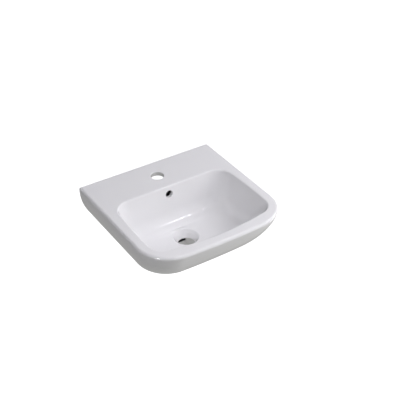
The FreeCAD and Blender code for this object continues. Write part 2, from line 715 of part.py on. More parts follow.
def build_washer(side):
    """A steel washer on the bush."""
    bore = "Sizes.bolt_radius + Sizes.fit_gap"
    back = "-Sizes.flange_thickness - Sizes.bush_flange_thickness"
    front = f"{back} - Sizes.washer_thickness"
    return turned_part("washer", side, [
        ("bore_front", bore, front),
        ("rim_front", "Sizes.washer_radius", front),
        ("rim_back", "Sizes.washer_radius", back),
        ("bore_back", bore, back)])


def build_nut(side):
    """A hexagon nut on the bolt's machine thread, its corners turned off at both faces."""
    body = new_body(f"{side}_hex_nut")
    name = f"{side.title()}HexNut"
    back = "-Sizes.flange_thickness - Sizes.bush_flange_thickness - Sizes.washer_thickness"
    front = f"{back} - Sizes.nut_height"
    sketch = new_sketch(body, f"{name}Outline", "XZ_Plane", {"z": f"-({back})"})
    flat = "Sizes.nut_across_flats / 2"
    corner = f"{flat} / cos(30)"
    polygon(sketch, [(f"corner{index}", f"{corner} * cos({60 * index})",
                      f"{corner} * sin({60 * index})") for index in range(6)])
    circle(sketch, "bore", "0", "0", "Sizes.bolt_radius + Sizes.fit_gap")
    extrude(body, "Pad", name, sketch, "Sizes.nut_height")
    outside = f"({corner} + 1)"
    fall = f"({outside} - {flat}) * tan(Sizes.nut_corner_angle)"
    for face, level, inner in (("Back", back, f"{back} - {fall}"), ("Front", front, f"{front} + {fall}")):
        turned = new_sketch(body, f"{name}{face}Corners")
        polygon(turned, [("flat", flat, level), ("outside", outside, level), ("inner", outside, inner)])
        turn_round(body, "Groove", f"{name}{face}Turned", turned)
    body.setExpression("Placement.Base.x", f"{SIDES[side]} * Sizes.fixing_centres / 2")
    return body


def check_document(parts):
    """Stops if any object failed, or a part's shape is empty or invalid."""
    for item in doc.Objects:
        if {"Invalid", "Error"} & set(item.State):
            raise RuntimeError(f"{item.Name} did not compute: {item.State}")
    for item in parts:
        shape = item.Shape
        if shape.isNull() or not shape.isValid() or not shape.Solids:
            raise RuntimeError(f"{item.Label} has no valid solid")


def write_parts(parts):
    """Writes one file per sub-part."""
    os.makedirs("parts", exist_ok=True)
    for item in parts:
        item.Shape.exportStep(os.path.join("parts", f"{item.Label}.step"))
        box = item.Shape.optimalBoundingBox()
        print(f"{item.Label}: {item.Shape.Volume / 1000:.1f} cm3, {len(item.Shape.Solids)} solid, "
              f"{box.XLength:.1f} x {box.YLength:.1f} x {box.ZLength:.1f} mm")


parts = [build_basin()]
for side in SIDES:
    parts += [build_bolt(side), build_plug(side), build_bush(side), build_washer(side), build_nut(side)]
doc.recompute()
check_document(parts)
write_parts(parts)
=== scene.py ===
"""Looks of a small wall hung wash basin in white glazed ceramic, with its two wall fixing sets.

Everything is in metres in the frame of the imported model: +X to the right, the front towards -Y,
+Z up, the wall at y = 0 and the flat top at the top of the basin's box. Sizes in the classes are
in millimetres and turned into metres where a mesh is made. Depths are measured down from the top.
"""
from __future__ import annotations

import logging
import math
from contextlib import contextmanager
from dataclasses import dataclass, field
from enum import Enum
from typing import Iterator, Sequence

import bmesh
import bpy
import numpy as np
from mathutils import Matrix, Vector

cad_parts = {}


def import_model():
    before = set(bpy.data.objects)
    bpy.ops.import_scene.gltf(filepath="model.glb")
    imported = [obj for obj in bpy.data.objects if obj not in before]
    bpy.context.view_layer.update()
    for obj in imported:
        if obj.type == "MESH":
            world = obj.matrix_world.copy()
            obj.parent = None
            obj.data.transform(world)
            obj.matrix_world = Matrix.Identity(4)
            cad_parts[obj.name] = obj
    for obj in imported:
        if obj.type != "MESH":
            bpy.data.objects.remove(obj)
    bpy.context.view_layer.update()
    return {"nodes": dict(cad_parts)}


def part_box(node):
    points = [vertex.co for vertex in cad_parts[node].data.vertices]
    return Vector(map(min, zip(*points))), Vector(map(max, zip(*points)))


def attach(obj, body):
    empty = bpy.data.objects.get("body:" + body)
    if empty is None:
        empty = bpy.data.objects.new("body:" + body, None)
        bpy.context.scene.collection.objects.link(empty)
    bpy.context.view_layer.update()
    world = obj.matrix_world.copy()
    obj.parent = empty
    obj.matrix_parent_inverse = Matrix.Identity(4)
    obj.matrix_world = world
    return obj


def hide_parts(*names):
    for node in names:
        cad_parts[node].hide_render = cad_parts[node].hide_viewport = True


LOG = logging.getLogger("basin")
MM = 0.001
BODY = "root"
QUARTER = math.pi / 2
SMALLEST_RADIUS = 1e-4
WELD = 1e-6
BEVEL_STEPS = 5
CUTTER_REACH = 8.0
FLARE_STEPS = 8
HOLE_FACETS = 96


class Side(Enum):
    """The two sides of the basin, seen from the front."""

    LEFT = -1
    RIGHT = 1

    @property
    def word(self) -> str:
        """The side's name as the nodes have it."""
        return self.name.lower()


class Slot(Enum):
    """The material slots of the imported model."""

    CERAMIC = "glazed_ceramic"
    STEEL = "zinc_steel"
    WHITE_NYLON = "white_nylon"
    GREY_NYLON = "grey_nylon"


# ----------------------------------------------------------------------------------------------
# Shader nodes
# ----------------------------------------------------------------------------------------------

class Value:
    """A shader socket that takes part in Python arithmetic."""

    def __init__(self, net: "NodeNet", socket: bpy.types.NodeSocket) -> None:
        """Wraps a node's output.

        Args:
            net: the material's node tree.
            socket: the output socket to wrap.
        """
        self.net = net
        self.socket = socket

    def _math(self, operation: str, first: "Value | float", second: "Value | float") -> "Value":
        """Adds one Math node."""
        return self.net.node("ShaderNodeMath", {"operation": operation}, {0: first, 1: second})

    def __add__(self, other: "Value | float") -> "Value":
        """self + other."""
        return self._math("ADD", self, other)

    def __radd__(self, other: float) -> "Value":
        """other + self."""
        return self._math("ADD", other, self)

    def __sub__(self, other: "Value | float") -> "Value":
        """self - other."""
        return self._math("SUBTRACT", self, other)

    def __rsub__(self, other: float) -> "Value":
        """other - self."""
        return self._math("SUBTRACT", other, self)

    def __mul__(self, other: "Value | float") -> "Value":
        """self * other."""
        return self._math("MULTIPLY", self, other)

    def __rmul__(self, other: float) -> "Value":
        """other * self."""
        return self._math("MULTIPLY", other, self)

    def __pow__(self, other: float) -> "Value":
        """self to a power."""
        return self._math("POWER", self, other)

    def band(self, low: float, high: float) -> "Value":
        """0 below low, 1 above high and smooth between them; high may be the smaller one.

        Args:
            low: the value that gives 0.
            high: the value that gives 1.

        Returns:
            The mask.
        """
        settings = {"interpolation_type": "SMOOTHSTEP"}
        if low < high:
            return self.net.node("ShaderNodeMapRange", settings,
                                 {"Value": self, "From Min": low, "From Max": high})
        return self.net.node("ShaderNodeMapRange", settings,
                             {"Value": self, "From Min": high, "From Max": low,
                              "To Min": 1.0, "To Max": 0.0})


class NodeNet:
    """The node tree of one material, or of the surroundings, with its shader ready."""

    def __init__(self, name: str, owner: bpy.types.World | None = None) -> None:
        """Makes an empty material, or takes the surroundings.

        Args:
            name: the material's name.
            owner: the surroundings, if the nodes are theirs.
        """
        self.material = owner or bpy.data.materials.new(name)
        self.material.use_nodes = True
        self.tree = self.material.node_tree
        self.shader = next(node for node in self.tree.nodes
                           if node.type in ("BSDF_PRINCIPLED", "BACKGROUND"))

    def node(self, kind: str, settings: dict | None = None, inputs: dict | None = None,
             output: int | str = 0) -> Value:
        """Adds one node.

        Args:
            kind: the node's type name.
            settings: the node's own properties, set before its sockets.
            inputs: values or links for its sockets, by name or by number.
            output: which output to return.

        Returns:
            The chosen output.
        """
        made = self.tree.nodes.new(kind)
        for key, setting in (settings or {}).items():
            setattr(made, key, setting)
        for key, item in (inputs or {}).items():
            self.feed(made.inputs[key], item)
        return Value(self, made.outputs[output])

    def feed(self, socket: bpy.types.NodeSocket, item: "Value | float | Sequence[float]") -> None:
        """Links a value to a socket, or sets the socket to a constant.

        Args:
            socket: the input socket.
            item: the value to link, or the constant.
        """
        if isinstance(item, Value):
            self.tree.links.new(item.socket, socket)
        else:
            socket.default_value = item

    def dress(self, **inputs: "Value | float | Sequence[float]") -> None:
        """Sets the shader's sockets; an underscore in a name stands for a space."""
        for key, item in inputs.items():
            self.feed(self.shader.inputs[key.replace("_", " ")], item)

    def place(self) -> Value:
        """The point in the object's frame, in metres."""
        return self.node("ShaderNodeTexCoord", output="Object")

    def axes(self) -> tuple[Value, Value, Value]:
        """The point in the object's frame, in metres.

        Returns:
            Its x, y and z.
        """
        first = self.node("ShaderNodeSeparateXYZ", inputs={0: self.place()})
        outputs = first.socket.node.outputs
        return first, Value(self, outputs[1]), Value(self, outputs[2])

    def noise(self, per_metre: float, detail: float = 2.0,
              stretch: Sequence[float] = (1, 1, 1)) -> Value:
        """Soft noise from 0 to 1.

        Args:
            per_metre: how many lumps there are in a metre.
            detail: how many finer layers lie over them.
            stretch: the scale along each axis.

        Returns:
            The noise.
        """
        point = self.node("ShaderNodeMapping", inputs={"Vector": self.place(), "Scale": stretch})
        return self.node("ShaderNodeTexNoise", None,
                         {"Vector": point, "Scale": per_metre, "Detail": detail})

    def blend(self, mask: "Value | float", first: Sequence[float] | Value,
              second: Sequence[float] | Value) -> Value:
        """A colour between two others.

        Args:
            mask: 0 gives the first colour and 1 the second.
            first: a linear colour.
            second: a linear colour.

        Returns:
            The mixed colour.
        """
        colours = [item if isinstance(item, Value) else (*item, 1.0) for item in (first, second)]
        return self.node("ShaderNodeMix", {"data_type": "RGBA"},
                         {0: mask, 6: colours[0], 7: colours[1]}, output=2)

    def bump(self, height: Value, reach: float, strength: float = 1.0,
             over: Value | None = None) -> Value:
        """A normal pushed about by a height.

        Args:
            height: the height, from 0 to 1.
            reach: the height of 1, in metres.
            strength: how much of it is applied.
            over: another bump to lie on.

        Returns:
            The normal.
        """
        inputs: dict = {"Strength": strength, "Distance": reach, "Height": height}
        if over is not None:
            inputs["Normal"] = over
        return self.node("ShaderNodeBump", None, inputs)


@dataclass(frozen=True)
class SanitaryGlaze:
    """White sanitary glaze over a fired body that shows bare where the piece was ground flat."""

    name: str = "sanitary_glaze"
    white: tuple[float, float, float] = (0.858, 0.855, 0.861)
    thick_white: tuple[float, float, float] = (0.850, 0.847, 0.855)
    bare: tuple[float, float, float] = (0.74, 0.72, 0.67)
    bare_speck: tuple[float, float, float] = (0.64, 0.61, 0.55)
    # Near-black painted shade for the inside of the overflow duct.
    painted_duct_shade: tuple[float, float, float] = (0.035, 0.035, 0.036)
    # Grey painted shade for the walls of the tap hole and of the waste's bore.
    painted_bore_shade: tuple[float, float, float] = (0.67, 0.67, 0.655)
    ground_skin: float = 0.4
    near: float = 0.4
    fade: float = 1.0
    rear_near: float = 1.6
    rear_fade: float = 7.0
    gloss: float = 0.02
    gloss_change: float = 0.04
    dry_roughness: float = 0.82
    refraction: float = 1.52
    wave_height: float = 0.0011
    peel_height: float = 0.00005
    grain_height: float = 0.0003

    def duct_shade_and_dry_mask(self, shape: "BasinCeramic", place: Sequence[Value]) -> Value:
        """1 in the overflow duct, behind the bowl and under its floor, for painted shade; 0
        elsewhere.

        Args:
            shape: the ceramic.
            place: the point's x, y and z, in millimetres.

        Returns:
            The mask.
        """
        across, along, up = place
        near, fade = self.near, self.fade
        half = shape.duct_width / 2 + near
        rear = shape.duct_rear - self.rear_near
        front = shape.bowl_back_face(shape.duct_depths[0])
        mouth = shape.waste_gap - shape.waste_bore
        first, roof, deep = (shape.top - depth for depth in shape.duct_depths)
        width = across.band(-half - fade, -half) * across.band(half + fade, half)
        upright = (along.band(-front - 2 * fade, -front) * up.band(first + 2 * fade, first)
                   * up.band(roof + fade, roof + 4 * fade))
        level = (along.band(-mouth - fade / 2, -mouth + fade / 2)
                 * up.band(roof + near + fade, roof + near)
                 * up.band(deep - 4 * fade, deep - fade))
        return width * along.band(self.rear_fade - rear, -rear) * (upright + level)

    def bore_shade_mask(self, shape: "BasinCeramic", place: Sequence[Value]) -> Value:
        """1 on the walls of the tap hole and of the waste's bore, for painted shade there.

        Args:
            shape: the ceramic.
            place: the point's x, y and z, in millimetres.

        Returns:
            The mask.
        """
        across, along, up = place
        total: Value | float = 0.0
        for gap, radius, depth in (
                (shape.tap_gap, shape.tap_radius, self.fade),
                (shape.waste_gap, shape.waste_bore, shape.waste_seat_depth)):
            forward, rim, level = along + gap, radius + self.near, shape.top - depth
            distance = across * across + forward * forward
            total = total + (distance.band((rim + self.fade) ** 2, rim ** 2)
                             * up.band(level, level - self.fade))
        return total

    def material(self, shape: "BasinCeramic") -> bpy.types.Material:
        """Builds the material.

        Args:
            shape: the ceramic that it is for.

        Returns:
            The glaze.
        """
        net = NodeNet(self.name)
        place = [axis * (1 / MM) for axis in net.axes()]
        bare = place[1].band(-2 * self.ground_skin, -self.ground_skin)
        pooled = net.noise(9.0, 1.0)
        glaze = net.blend(pooled.band(0.35, 0.75), self.white, self.thick_white)
        # Painted shade darkens the walls of the tap hole and of the waste's bore.
        glaze = net.blend(self.bore_shade_mask(shape, place), glaze, self.painted_bore_shade)
        specks = net.noise(900.0, 3.0).band(0.56, 0.70)
        body = net.blend(specks, self.bare, self.bare_speck)
        # Near-black painted shade fills the overflow duct; there it is also rough like the bare
        # body.
        inside = self.duct_shade_and_dry_mask(shape, place)
        colour = net.blend(inside, net.blend(bare, glaze, body), self.painted_duct_shade)
        sheen_change = net.noise(26.0, 2.0)
        gloss = self.gloss + sheen_change * self.gloss_change
        dry = bare + inside
        roughness = gloss * (1 - dry) + dry * self.dry_roughness
        wave = net.bump(net.noise(22.0, 1.0), self.wave_height, 0.35)
        peel = net.bump(net.noise(420.0, 1.0), self.peel_height, 0.12, over=wave)
        grain = net.bump(specks * bare, self.grain_height, 0.8, over=peel)
        net.dress(Base_Color=colour, Roughness=roughness, Normal=grain, IOR=self.refraction,
                  Specular_IOR_Level=0.5)
        return net.material


@dataclass(frozen=True)
class ZincPlate:
    """Bright zinc plating on steel with fine turning marks round the piece's axis."""

    name: str = "zinc_plate"
    bright: tuple[float, float, float] = (0.56, 0.575, 0.60)
    dull: tuple[float, float, float] = (0.40, 0.41, 0.42)

    def material(self) -> bpy.types.Material:
        """Builds the material.

        Returns:
            The plating.
        """
        net = NodeNet(self.name)
        clouds = net.noise(120.0, 3.0)
        turned = net.noise(300.0, 2.0, stretch=(0.4, 9.0, 0.4))
        colour = net.blend(clouds.band(0.35, 0.7), self.bright, self.dull)
        normal = net.bump(turned, 0.00006, 0.5)
        net.dress(Base_Color=colour, Roughness=0.24 + clouds * 0.22, Metallic=1.0, Normal=normal)
        return net.material


@dataclass(frozen=True)
class MouldedNylon:
    """Satin moulded nylon with a faint grain."""

    name: str
    colour: tuple[float, float, float]
    shade: tuple[float, float, float]

    def material(self) -> bpy.types.Material:
        """Builds the material.

        Returns:
            The nylon.
        """
        net = NodeNet(self.name)
        clouds = net.noise(70.0, 2.0)
        grain = net.noise(1500.0, 2.0)
        net.dress(Base_Color=net.blend(clouds.band(0.3, 0.75), self.colour, self.shade),
                  Roughness=0.40 + grain * 0.15, Normal=net.bump(grain, 0.00005, 0.5))
        return net.material


# ----------------------------------------------------------------------------------------------
# Mesh helpers
# ----------------------------------------------------------------------------------------------

def line(start: Sequence[float], end: Sequence[float], count: int) -> np.ndarray:
    """Points from start up to, but not including, end.

    Args:
        start: the first point.
        end: the point that the next stretch starts with.
        count: how many points.

    Returns:
        An array of one row per point.
    """
    share = np.arange(count)[:, None] / count
    return np.asarray(start, float) * (1 - share) + np.asarray(end, float) * share


def arc(centre: Sequence[float], radius: float, first: float, last: float,
        count: int) -> np.ndarray:
    """Points on an arc from its first angle up to, but not including, its last.

    Args:
        centre: the arc's centre.
        radius: its radius.
        first: the angle it starts at, in radians.
        last: the angle it stops before.
        count: how many points.

    Returns:
        An array of one row per point.
    """
    angles = first + (last - first) * np.arange(count) / count
    return np.asarray(centre, float) + radius * np.c_[np.cos(angles), np.sin(angles)]


def rounded_path(corners: Sequence[tuple[float, float, float]], closed: bool = False,
                 step: float = 12.0) -> list[tuple[float, float]]:
    """A path of straight lines whose corners are rounded.

    Args:
        corners: x, y and the radius of the round at each corner.
        closed: True if the last corner joins the first.
        step: how many degrees a round turns from point to point.

    Returns:
        The path's points.
    """
    points: list[tuple[float, float]] = []
    count = len(corners)
    for index, (x, y, radius) in enumerate(corners):
        at_end = not closed and index in (0, count - 1)
        if at_end or radius <= 0:
            points.append((x, y))
            continue
        here = Vector((x, y))
        before = (Vector(corners[index - 1][:2]) - here).normalized()
        after = (Vector(corners[(index + 1) % count][:2]) - here).normalized()
        half_angle = before.angle(after) / 2
        centre = here + (before + after).normalized() * (radius / math.sin(half_angle))
        from_centre = here + before * (radius / math.tan(half_angle)) - centre
        to_centre = here + after * (radius / math.tan(half_angle)) - centre
        turn = from_centre.angle_signed(to_centre)
        steps = max(2, round(abs(math.degrees(turn)) / step))
        for stage in range(steps + 1):
            spoke = from_centre.copy()
            spoke.rotate(Matrix.Rotation(-turn * stage / steps, 2))
            points.append(tuple(centre + spoke))
    return points


@contextmanager
def edited(mesh: bpy.types.Mesh) -> Iterator[bmesh.types.BMesh]:
    """Opens a mesh for editing and writes it back afterwards.

    Args:
        mesh: the mesh to edit.

    Yields:
        Its editable form.
    """
    work = bmesh.new()
    work.from_mesh(mesh)
    yield work
    work.to_mesh(mesh)
    work.free()


class MeshBuilder:
    """Collects points, in millimetres, and faces, and turns them into an object."""

    def __init__(self) -> None:
        """Starts empty."""
        self.points: list[tuple[float, float, float]] = []
        self.faces: list[tuple[int, ...]] = []

    def ring(self, points: np.ndarray) -> range:
        """Adds a ring of points.

        Args:
            points: one row per point.

        Returns:
            The numbers that the points got.
        """
        start = len(self.points)
        self.points.extend(map(tuple, points))
        return range(start, len(self.points))

    def rings(self, stack: Sequence[np.ndarray], closed: bool = False) -> None:
        """Joins rings of equally many points with quads.

        Args:
            stack: the rings.
            closed: True if the last ring joins the first; otherwise both ends are capped.
        """
        numbers = [self.ring(ring) for ring in stack]
        pairs = list(zip(numbers, numbers[1:] + numbers[:1])) if closed else list(
            zip(numbers, numbers[1:]))
        for lower, upper in pairs:
            count = len(lower)
            for index in range(count):
                following = (index + 1) % count
                self.faces.append((lower[index], lower[following], upper[following], upper[index]))
        if not closed:
            self.faces.append(tuple(reversed(numbers[0])))
            self.faces.append(tuple(numbers[-1]))

    def build(self, name: str) -> bpy.types.Object:
        """Makes the object.

        Args:
            name: the object's name.

        Returns:
            The object, in metres, its faces turned outwards.
        """
        mesh = bpy.data.meshes.new(name)
        mesh.from_pydata([tuple(MM * c for c in point) for point in self.points], [], self.faces)
        with edited(mesh) as work:
            bmesh.ops.recalc_face_normals(work, faces=work.faces)
            if work.calc_volume(signed=True) < 0:
                bmesh.ops.reverse_faces(work, faces=work.faces)
        made = bpy.data.objects.new(name, mesh)
        bpy.context.scene.collection.objects.link(made)
        return made


def lathe(name: str, path: Sequence[tuple[float, float]], place: Matrix,
          segments: int = 64) -> bpy.types.Object:
    """A turned piece.

    Args:
        name: the object's name.
        path: a closed outline of radius and height, in millimetres; it may touch the axis.
        place: turns the piece's own Z axis and moves it, in millimetres.
        segments: how many faces go round.

    Returns:
        The object.
    """
    angles = np.linspace(0, 2 * math.pi, segments, endpoint=False)
    radii = np.array([max(radius, SMALLEST_RADIUS) for radius, _ in path])
    heights = np.array([height for _, height in path])
    builder = MeshBuilder()
    stack = [np.c_[radius * np.cos(angles), radius * np.sin(angles), np.full(segments, height)]
             for radius, height in zip(radii, heights)]
    turned = [np.array([place @ Vector(point) for point in ring]) for ring in stack]
    touches_axis = min(radius for radius, _ in path) <= 0
    builder.rings(turned, closed=not touches_axis)
    made = builder.build(name)
    with edited(made.data) as work:
        bmesh.ops.remove_doubles(work, verts=work.verts, dist=WELD)
    return made


def slab(name: str, outline: Sequence[tuple[float, float]], low: float, high: float,
         place: Matrix, edge: float = 0.0) -> bpy.types.Object:
    """A plate with a given outline.

    Args:
        name: the object's name.
        outline: the corners in its own plane, in millimetres.
        low: its lower face.
        high: its upper face.
        place: turns and moves it, in millimetres.
        edge: the radius on all its edges.

    Returns:
        The object.
    """
    builder = MeshBuilder()
    builder.rings([np.array([place @ Vector((x, y, height)) for x, y in outline])
                   for height in (low, high)])
    made = builder.build(name)
    if edge > 0:
        with edited(made.data) as work:
            bmesh.ops.bevel(work, geom=list(work.edges), offset=edge * MM, segments=BEVEL_STEPS,
                            profile=0.5, affect="EDGES", clamp_overlap=True)
    return made


def carve(target: bpy.types.Object, tools: Sequence[bpy.types.Object], operation: str) -> None:
    """Cuts tools out of a piece, or joins them to it, and deletes them.

    Args:
        target: the piece that changes.
        tools: the pieces to use up.
        operation: DIFFERENCE or UNION.
    """
    for tool in tools:
        modifier = target.modifiers.new("carve", "BOOLEAN")
        modifier.operation = operation
        modifier.solver = "EXACT"
        modifier.object = tool
        shaped = bpy.data.meshes.new_from_object(
            target.evaluated_get(bpy.context.evaluated_depsgraph_get()))
        target.modifiers.remove(modifier)
        old = target.data
        target.data = shaped
        bpy.data.meshes.remove(old)
        bpy.data.objects.remove(tool)
        LOG.info("%s: %s done, %d faces", target.name, operation.lower(), len(shaped.polygons))


def finish_shading(piece: bpy.types.Object, sharp_angle: float) -> None:
    """Smooth shading with crisp edges.

    Args:
        piece: the finished piece.
        sharp_angle: an edge stays crisp if the surface turns by more there, in degrees.
    """
    piece.data.shade_smooth()
    piece.data.set_sharp_from_angle(angle=math.radians(sharp_angle))
    modifier = piece.modifiers.new("weighted_normals", "WEIGHTED_NORMAL")
    modifier.keep_sharp = True
    modifier.weight = 100


def hand_over(piece: bpy.types.Object, material: bpy.types.Material, slot: Slot,
              *nodes: str) -> None:
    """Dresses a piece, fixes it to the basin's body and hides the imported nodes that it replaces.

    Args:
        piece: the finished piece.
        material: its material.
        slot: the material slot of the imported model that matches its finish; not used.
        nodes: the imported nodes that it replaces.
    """
    piece.data.materials.clear()
    piece.data.materials.append(material)
    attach(piece, BODY)
    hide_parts(*nodes)
    LOG.info("%s: %d faces", piece.name, len(piece.data.polygons))


# ----------------------------------------------------------------------------------------------
# The ceramic
# ----------------------------------------------------------------------------------------------

Section = tuple[tuple[float, float], tuple[float, float], tuple[float, float]]


def loop_normals(points: np.ndarray) -> np.ndarray:
    """The outward normals of a flat loop.

    Args:
        points: the loop, clockwise when seen from above.

    Returns:
        One normal per point.
    """
    along = np.roll(points, -1, axis=0) - np.roll(points, 1, axis=0)
    along /= np.linalg.norm(along, axis=1)[:, None]
    return np.c_[-along[:, 1], along[:, 0]]


def mirrored(stretches: Sequence[np.ndarray], end: Sequence[float]) -> np.ndarray:
    """The right-hand stretches of a loop again on its left, in the loop's own direction.

    Args:
        stretches: the points of the right-hand side, from the back to the front.
        end: the point that follows them.

    Returns:
        The left-hand points, from the front to the back.
    """
    joined = np.vstack([*stretches, np.asarray(end)[None, :]])[1:]
    return joined[::-1] * np.array([-1.0, 1.0])


@dataclass(frozen=True)
class LoopCounts:
    """How many points each stretch of a loop has, and how many loops each stretch of a wall."""

    back: int = 44
    heel: int = 6
    side: int = 66
    corner: int = 28
    front: int = 56
    rim: int = 9
    hull_wall: int = 25
    foot: int = 6
    lip: int = 8
    bowl_wall: int = 9
    floor_round: int = 15
    floor: int = 12
    pocket_roof: int = 6
    pocket_wall: int = 12
    under: tuple[float, ...] = (0.15, 0.5, 0.85, 0.97)
    deck: tuple[float, ...] = (0.03, 0.5, 0.97)

    @property
    def rear_corner(self) -> int:
        """Points on a bowl's rear corner; the bowl's side has the rest of the side's points."""
        return self.side // 3 + self.heel


@dataclass
class BasinCeramic:
    """The one ceramic piece: rim, deck, bowl, apron, waste boss and the open back."""

    width: float
    reach: float
    top: float
    front_corner: float = 91.0
    front_bow: float = 2000.0
    corner_tightening: float = 0.27
    hull_height: float = 126.0
    side_arc: float = 147.0
    front_lean: float = 22.0
    front_arc: float = 300.0
    rim_edge: float = 7.0
    back_edge: float = 1.2
    heel_edge: float = 1.5
    hull_foot: float = 9.0
    bowl_width: float = 345.0
    bowl_back_gap: float = 120.0
    bowl_front_rim: float = 28.5
    bowl_front_bow: float = 710.0
    bowl_side_radius: float = 1500.0
    bowl_widest: float = 270.0
    bowl_back_corner: float = 45.0
    bowl_front_corner: float = 41.0
    bowl_low_corner: float = 54.27
    bowl_depth: float = 108.0
    bowl_floor_radius: float = 40.0
    bowl_side_angle: float = 9.0
    bowl_back_angle: float = 5.0
    floor_angle: float = 87.0
    floor_run: float = 3.0
    floor_fall: float = 0.12
    bowl_front_angle: float = 27.0
    lip_radius: float = 4.0
    deck: float = 13.0
    skirt: float = 10.0
    bowl_wall: float = 9.5
    pocket_corner: float = 14.0
    pocket_roof_round: float = 8.0
    pocket_heel: float = 1.0
    waste_gap: float = 203.0
    waste_bore: float = 23.0
    waste_recess: float = 33.5
    waste_recess_depth: float = 113.0
    waste_recess_round: float = 4.5
    waste_shelf: float = 28.0
    waste_shelf_depth: float = 122.0
    waste_shelf_round: float = 13.5
    waste_seat_depth: float = 134.0
    waste_edge: float = 1.5
    boss_radius: float = 37.0
    boss_edge: float = 2.5
    boss_root: float = 6.0
    outlet_depth: float = 160.0
    tap_gap: float = 62.0
    tap_radius: float = 17.5
    tap_edge: float = 1.5
    overflow_depth: float = 25.0
    overflow_radius: float = 10.0
    overflow_edge: float = 2.0
    overflow_crown: float = 3.0
    duct_width: float = 24.0
    duct_gap: float = 14.0
    duct_wall: float = 8.0
    duct_drop: float = 26.0
    duct_edge: float = 4.0
    duct_root: float = 2.0
    fixing_spread: float = 140.0
    fixing_hole: float = 10.0
    fixing_edge: float = 1.5
    flange: float = 16.0
    flange_inner: float = 96.0
    flange_low: float = 94.0
    flange_edge: float = 3.0
    overrun: float = 6.0
    crisp_angle: float = 34.0
    counts: LoopCounts = field(default_factory=LoopCounts)

    # Loops seen from above

    def outer_loop(self, half: float, reach: float, corner: float, rear: float,
                   heel: float) -> tuple[np.ndarray, np.ndarray]:
        """The flat-backed outline with round front corners and a slightly bowed front.

        Args:
            half: half its width.
            reach: how far its front comes forward.
            corner: the radius of its front corners.
            rear: where its back line lies, as a distance from the wall.
            heel: the radius where its back meets its sides.

        Returns:
            The points and the outward normals, one row each.
        """
        count = self.counts
        corner_x = half - corner
        bow_y = self.front_bow - reach
        corner_y = bow_y - math.sqrt((self.front_bow - corner) ** 2 - corner_x ** 2)
        turn = math.asin(corner_x / (self.front_bow - corner))
        back_x, back_y = half - heel, -rear - heel
        right = [arc((back_x, back_y), heel, QUARTER, 0, count.heel),
                 line((half, back_y), (half, corner_y), count.side),
                 arc((corner_x, corner_y), corner, 0, turn - QUARTER, count.corner)]
        last = turn - QUARTER
        end = (corner_x + corner * math.cos(last), corner_y + corner * math.sin(last))
        points = np.vstack([line((-back_x, -rear), (back_x, -rear), count.back), *right,
                            arc((0, bow_y), self.front_bow, last, -turn - QUARTER, count.front),
                            mirrored(right, end)])
        return points, loop_normals(points)

    def bowl_loop(self, half: float, rear: float, front: float, widest: float, rear_corner: float,
                  front_corner: float, side: float) -> tuple[np.ndarray, np.ndarray]:
        """The bowl's outline: straight back, bulging sides, bowed front and four round corners.

        Args:
            half: half its greatest width.
            rear: the distance of its back line from the wall.
            front: the distance of its front line from the wall.
            widest: where it is widest, from the wall.
            rear_corner: the radius of its rear corners.
            front_corner: the radius of its front corners.
            side: the radius of its sides.

        Returns:
            The points and the outward normals, one row each.
        """
        count = self.counts
        side_middle = Vector((half - side, -widest))
        bow_middle = Vector((0.0, self.bowl_front_bow - front))
        rear_y = rear + rear_corner
        rear_x = side_middle.x + math.sqrt((side - rear_corner) ** 2 - (widest - rear_y) ** 2)
        rear_turn = math.asin((widest - rear_y) / (side - rear_corner))
        ahead = bow_middle - side_middle
        reach, bow_reach = side - front_corner, self.bowl_front_bow - front_corner
        along = (reach ** 2 - bow_reach ** 2 + ahead.length_squared) / (2 * ahead.length)
        ahead.normalize()
        corner = (side_middle + ahead * along
                  + Vector((ahead.y, -ahead.x)) * math.sqrt(reach ** 2 - along ** 2))
        front_turn = math.atan2(corner.y - side_middle.y, corner.x - side_middle.x)
        last = math.atan2(corner.x, bow_middle.y - corner.y) - QUARTER
        side_count = count.side + count.heel - count.rear_corner
        right = [arc((rear_x, -rear_y), rear_corner, QUARTER, rear_turn, count.rear_corner),
                 arc(side_middle, side, rear_turn, front_turn, side_count),
                 arc(corner, front_corner, front_turn, last, count.corner)]
        end = (corner.x + front_corner * math.cos(last), corner.y + front_corner * math.sin(last))
        points = np.vstack([line((-rear_x, -rear), (rear_x, -rear), count.back), *right,
                            arc(bow_middle, self.bowl_front_bow, last, -2 * QUARTER - last,
                                count.front),
                            mirrored(right, end)])
        return points, loop_normals(points)

    # Sections down the walls: an (inset, depth) each for the sides, the back and the front

    def hull_sections(self) -> tuple[list[Section], list[float]]:
        """The outside from the deck's edge, over the rim, down the wall and round the foot.

        Returns:
            The sections, and how much of each one's inset its corners lose.
        """
        sections, tightening = [], []
        lean = math.radians(self.front_lean)
        rounded_off = self.rim_edge * (1 / math.cos(lean) - 1)
        for share in np.linspace(0, 1, self.counts.rim):
            turns = (share * QUARTER, share * QUARTER, share * (QUARTER + lean))
            edges = (self.rim_edge, self.back_edge, self.rim_edge)
            sections.append(tuple((edge * (1 - math.sin(turn)), edge * (1 - math.cos(turn)))
                                  for edge, turn in zip(edges, turns)))
            tightening.append(1 + (self.corner_tightening - 1) * share)
        foot_middle = self.hull_height - self.hull_foot

        def tangent(radius: float, sine: float) -> float:
            """The angle at which a wall's arc meets the round of the foot."""
            return math.asin((foot_middle - self.rim_edge + sine) / (radius - self.hull_foot))

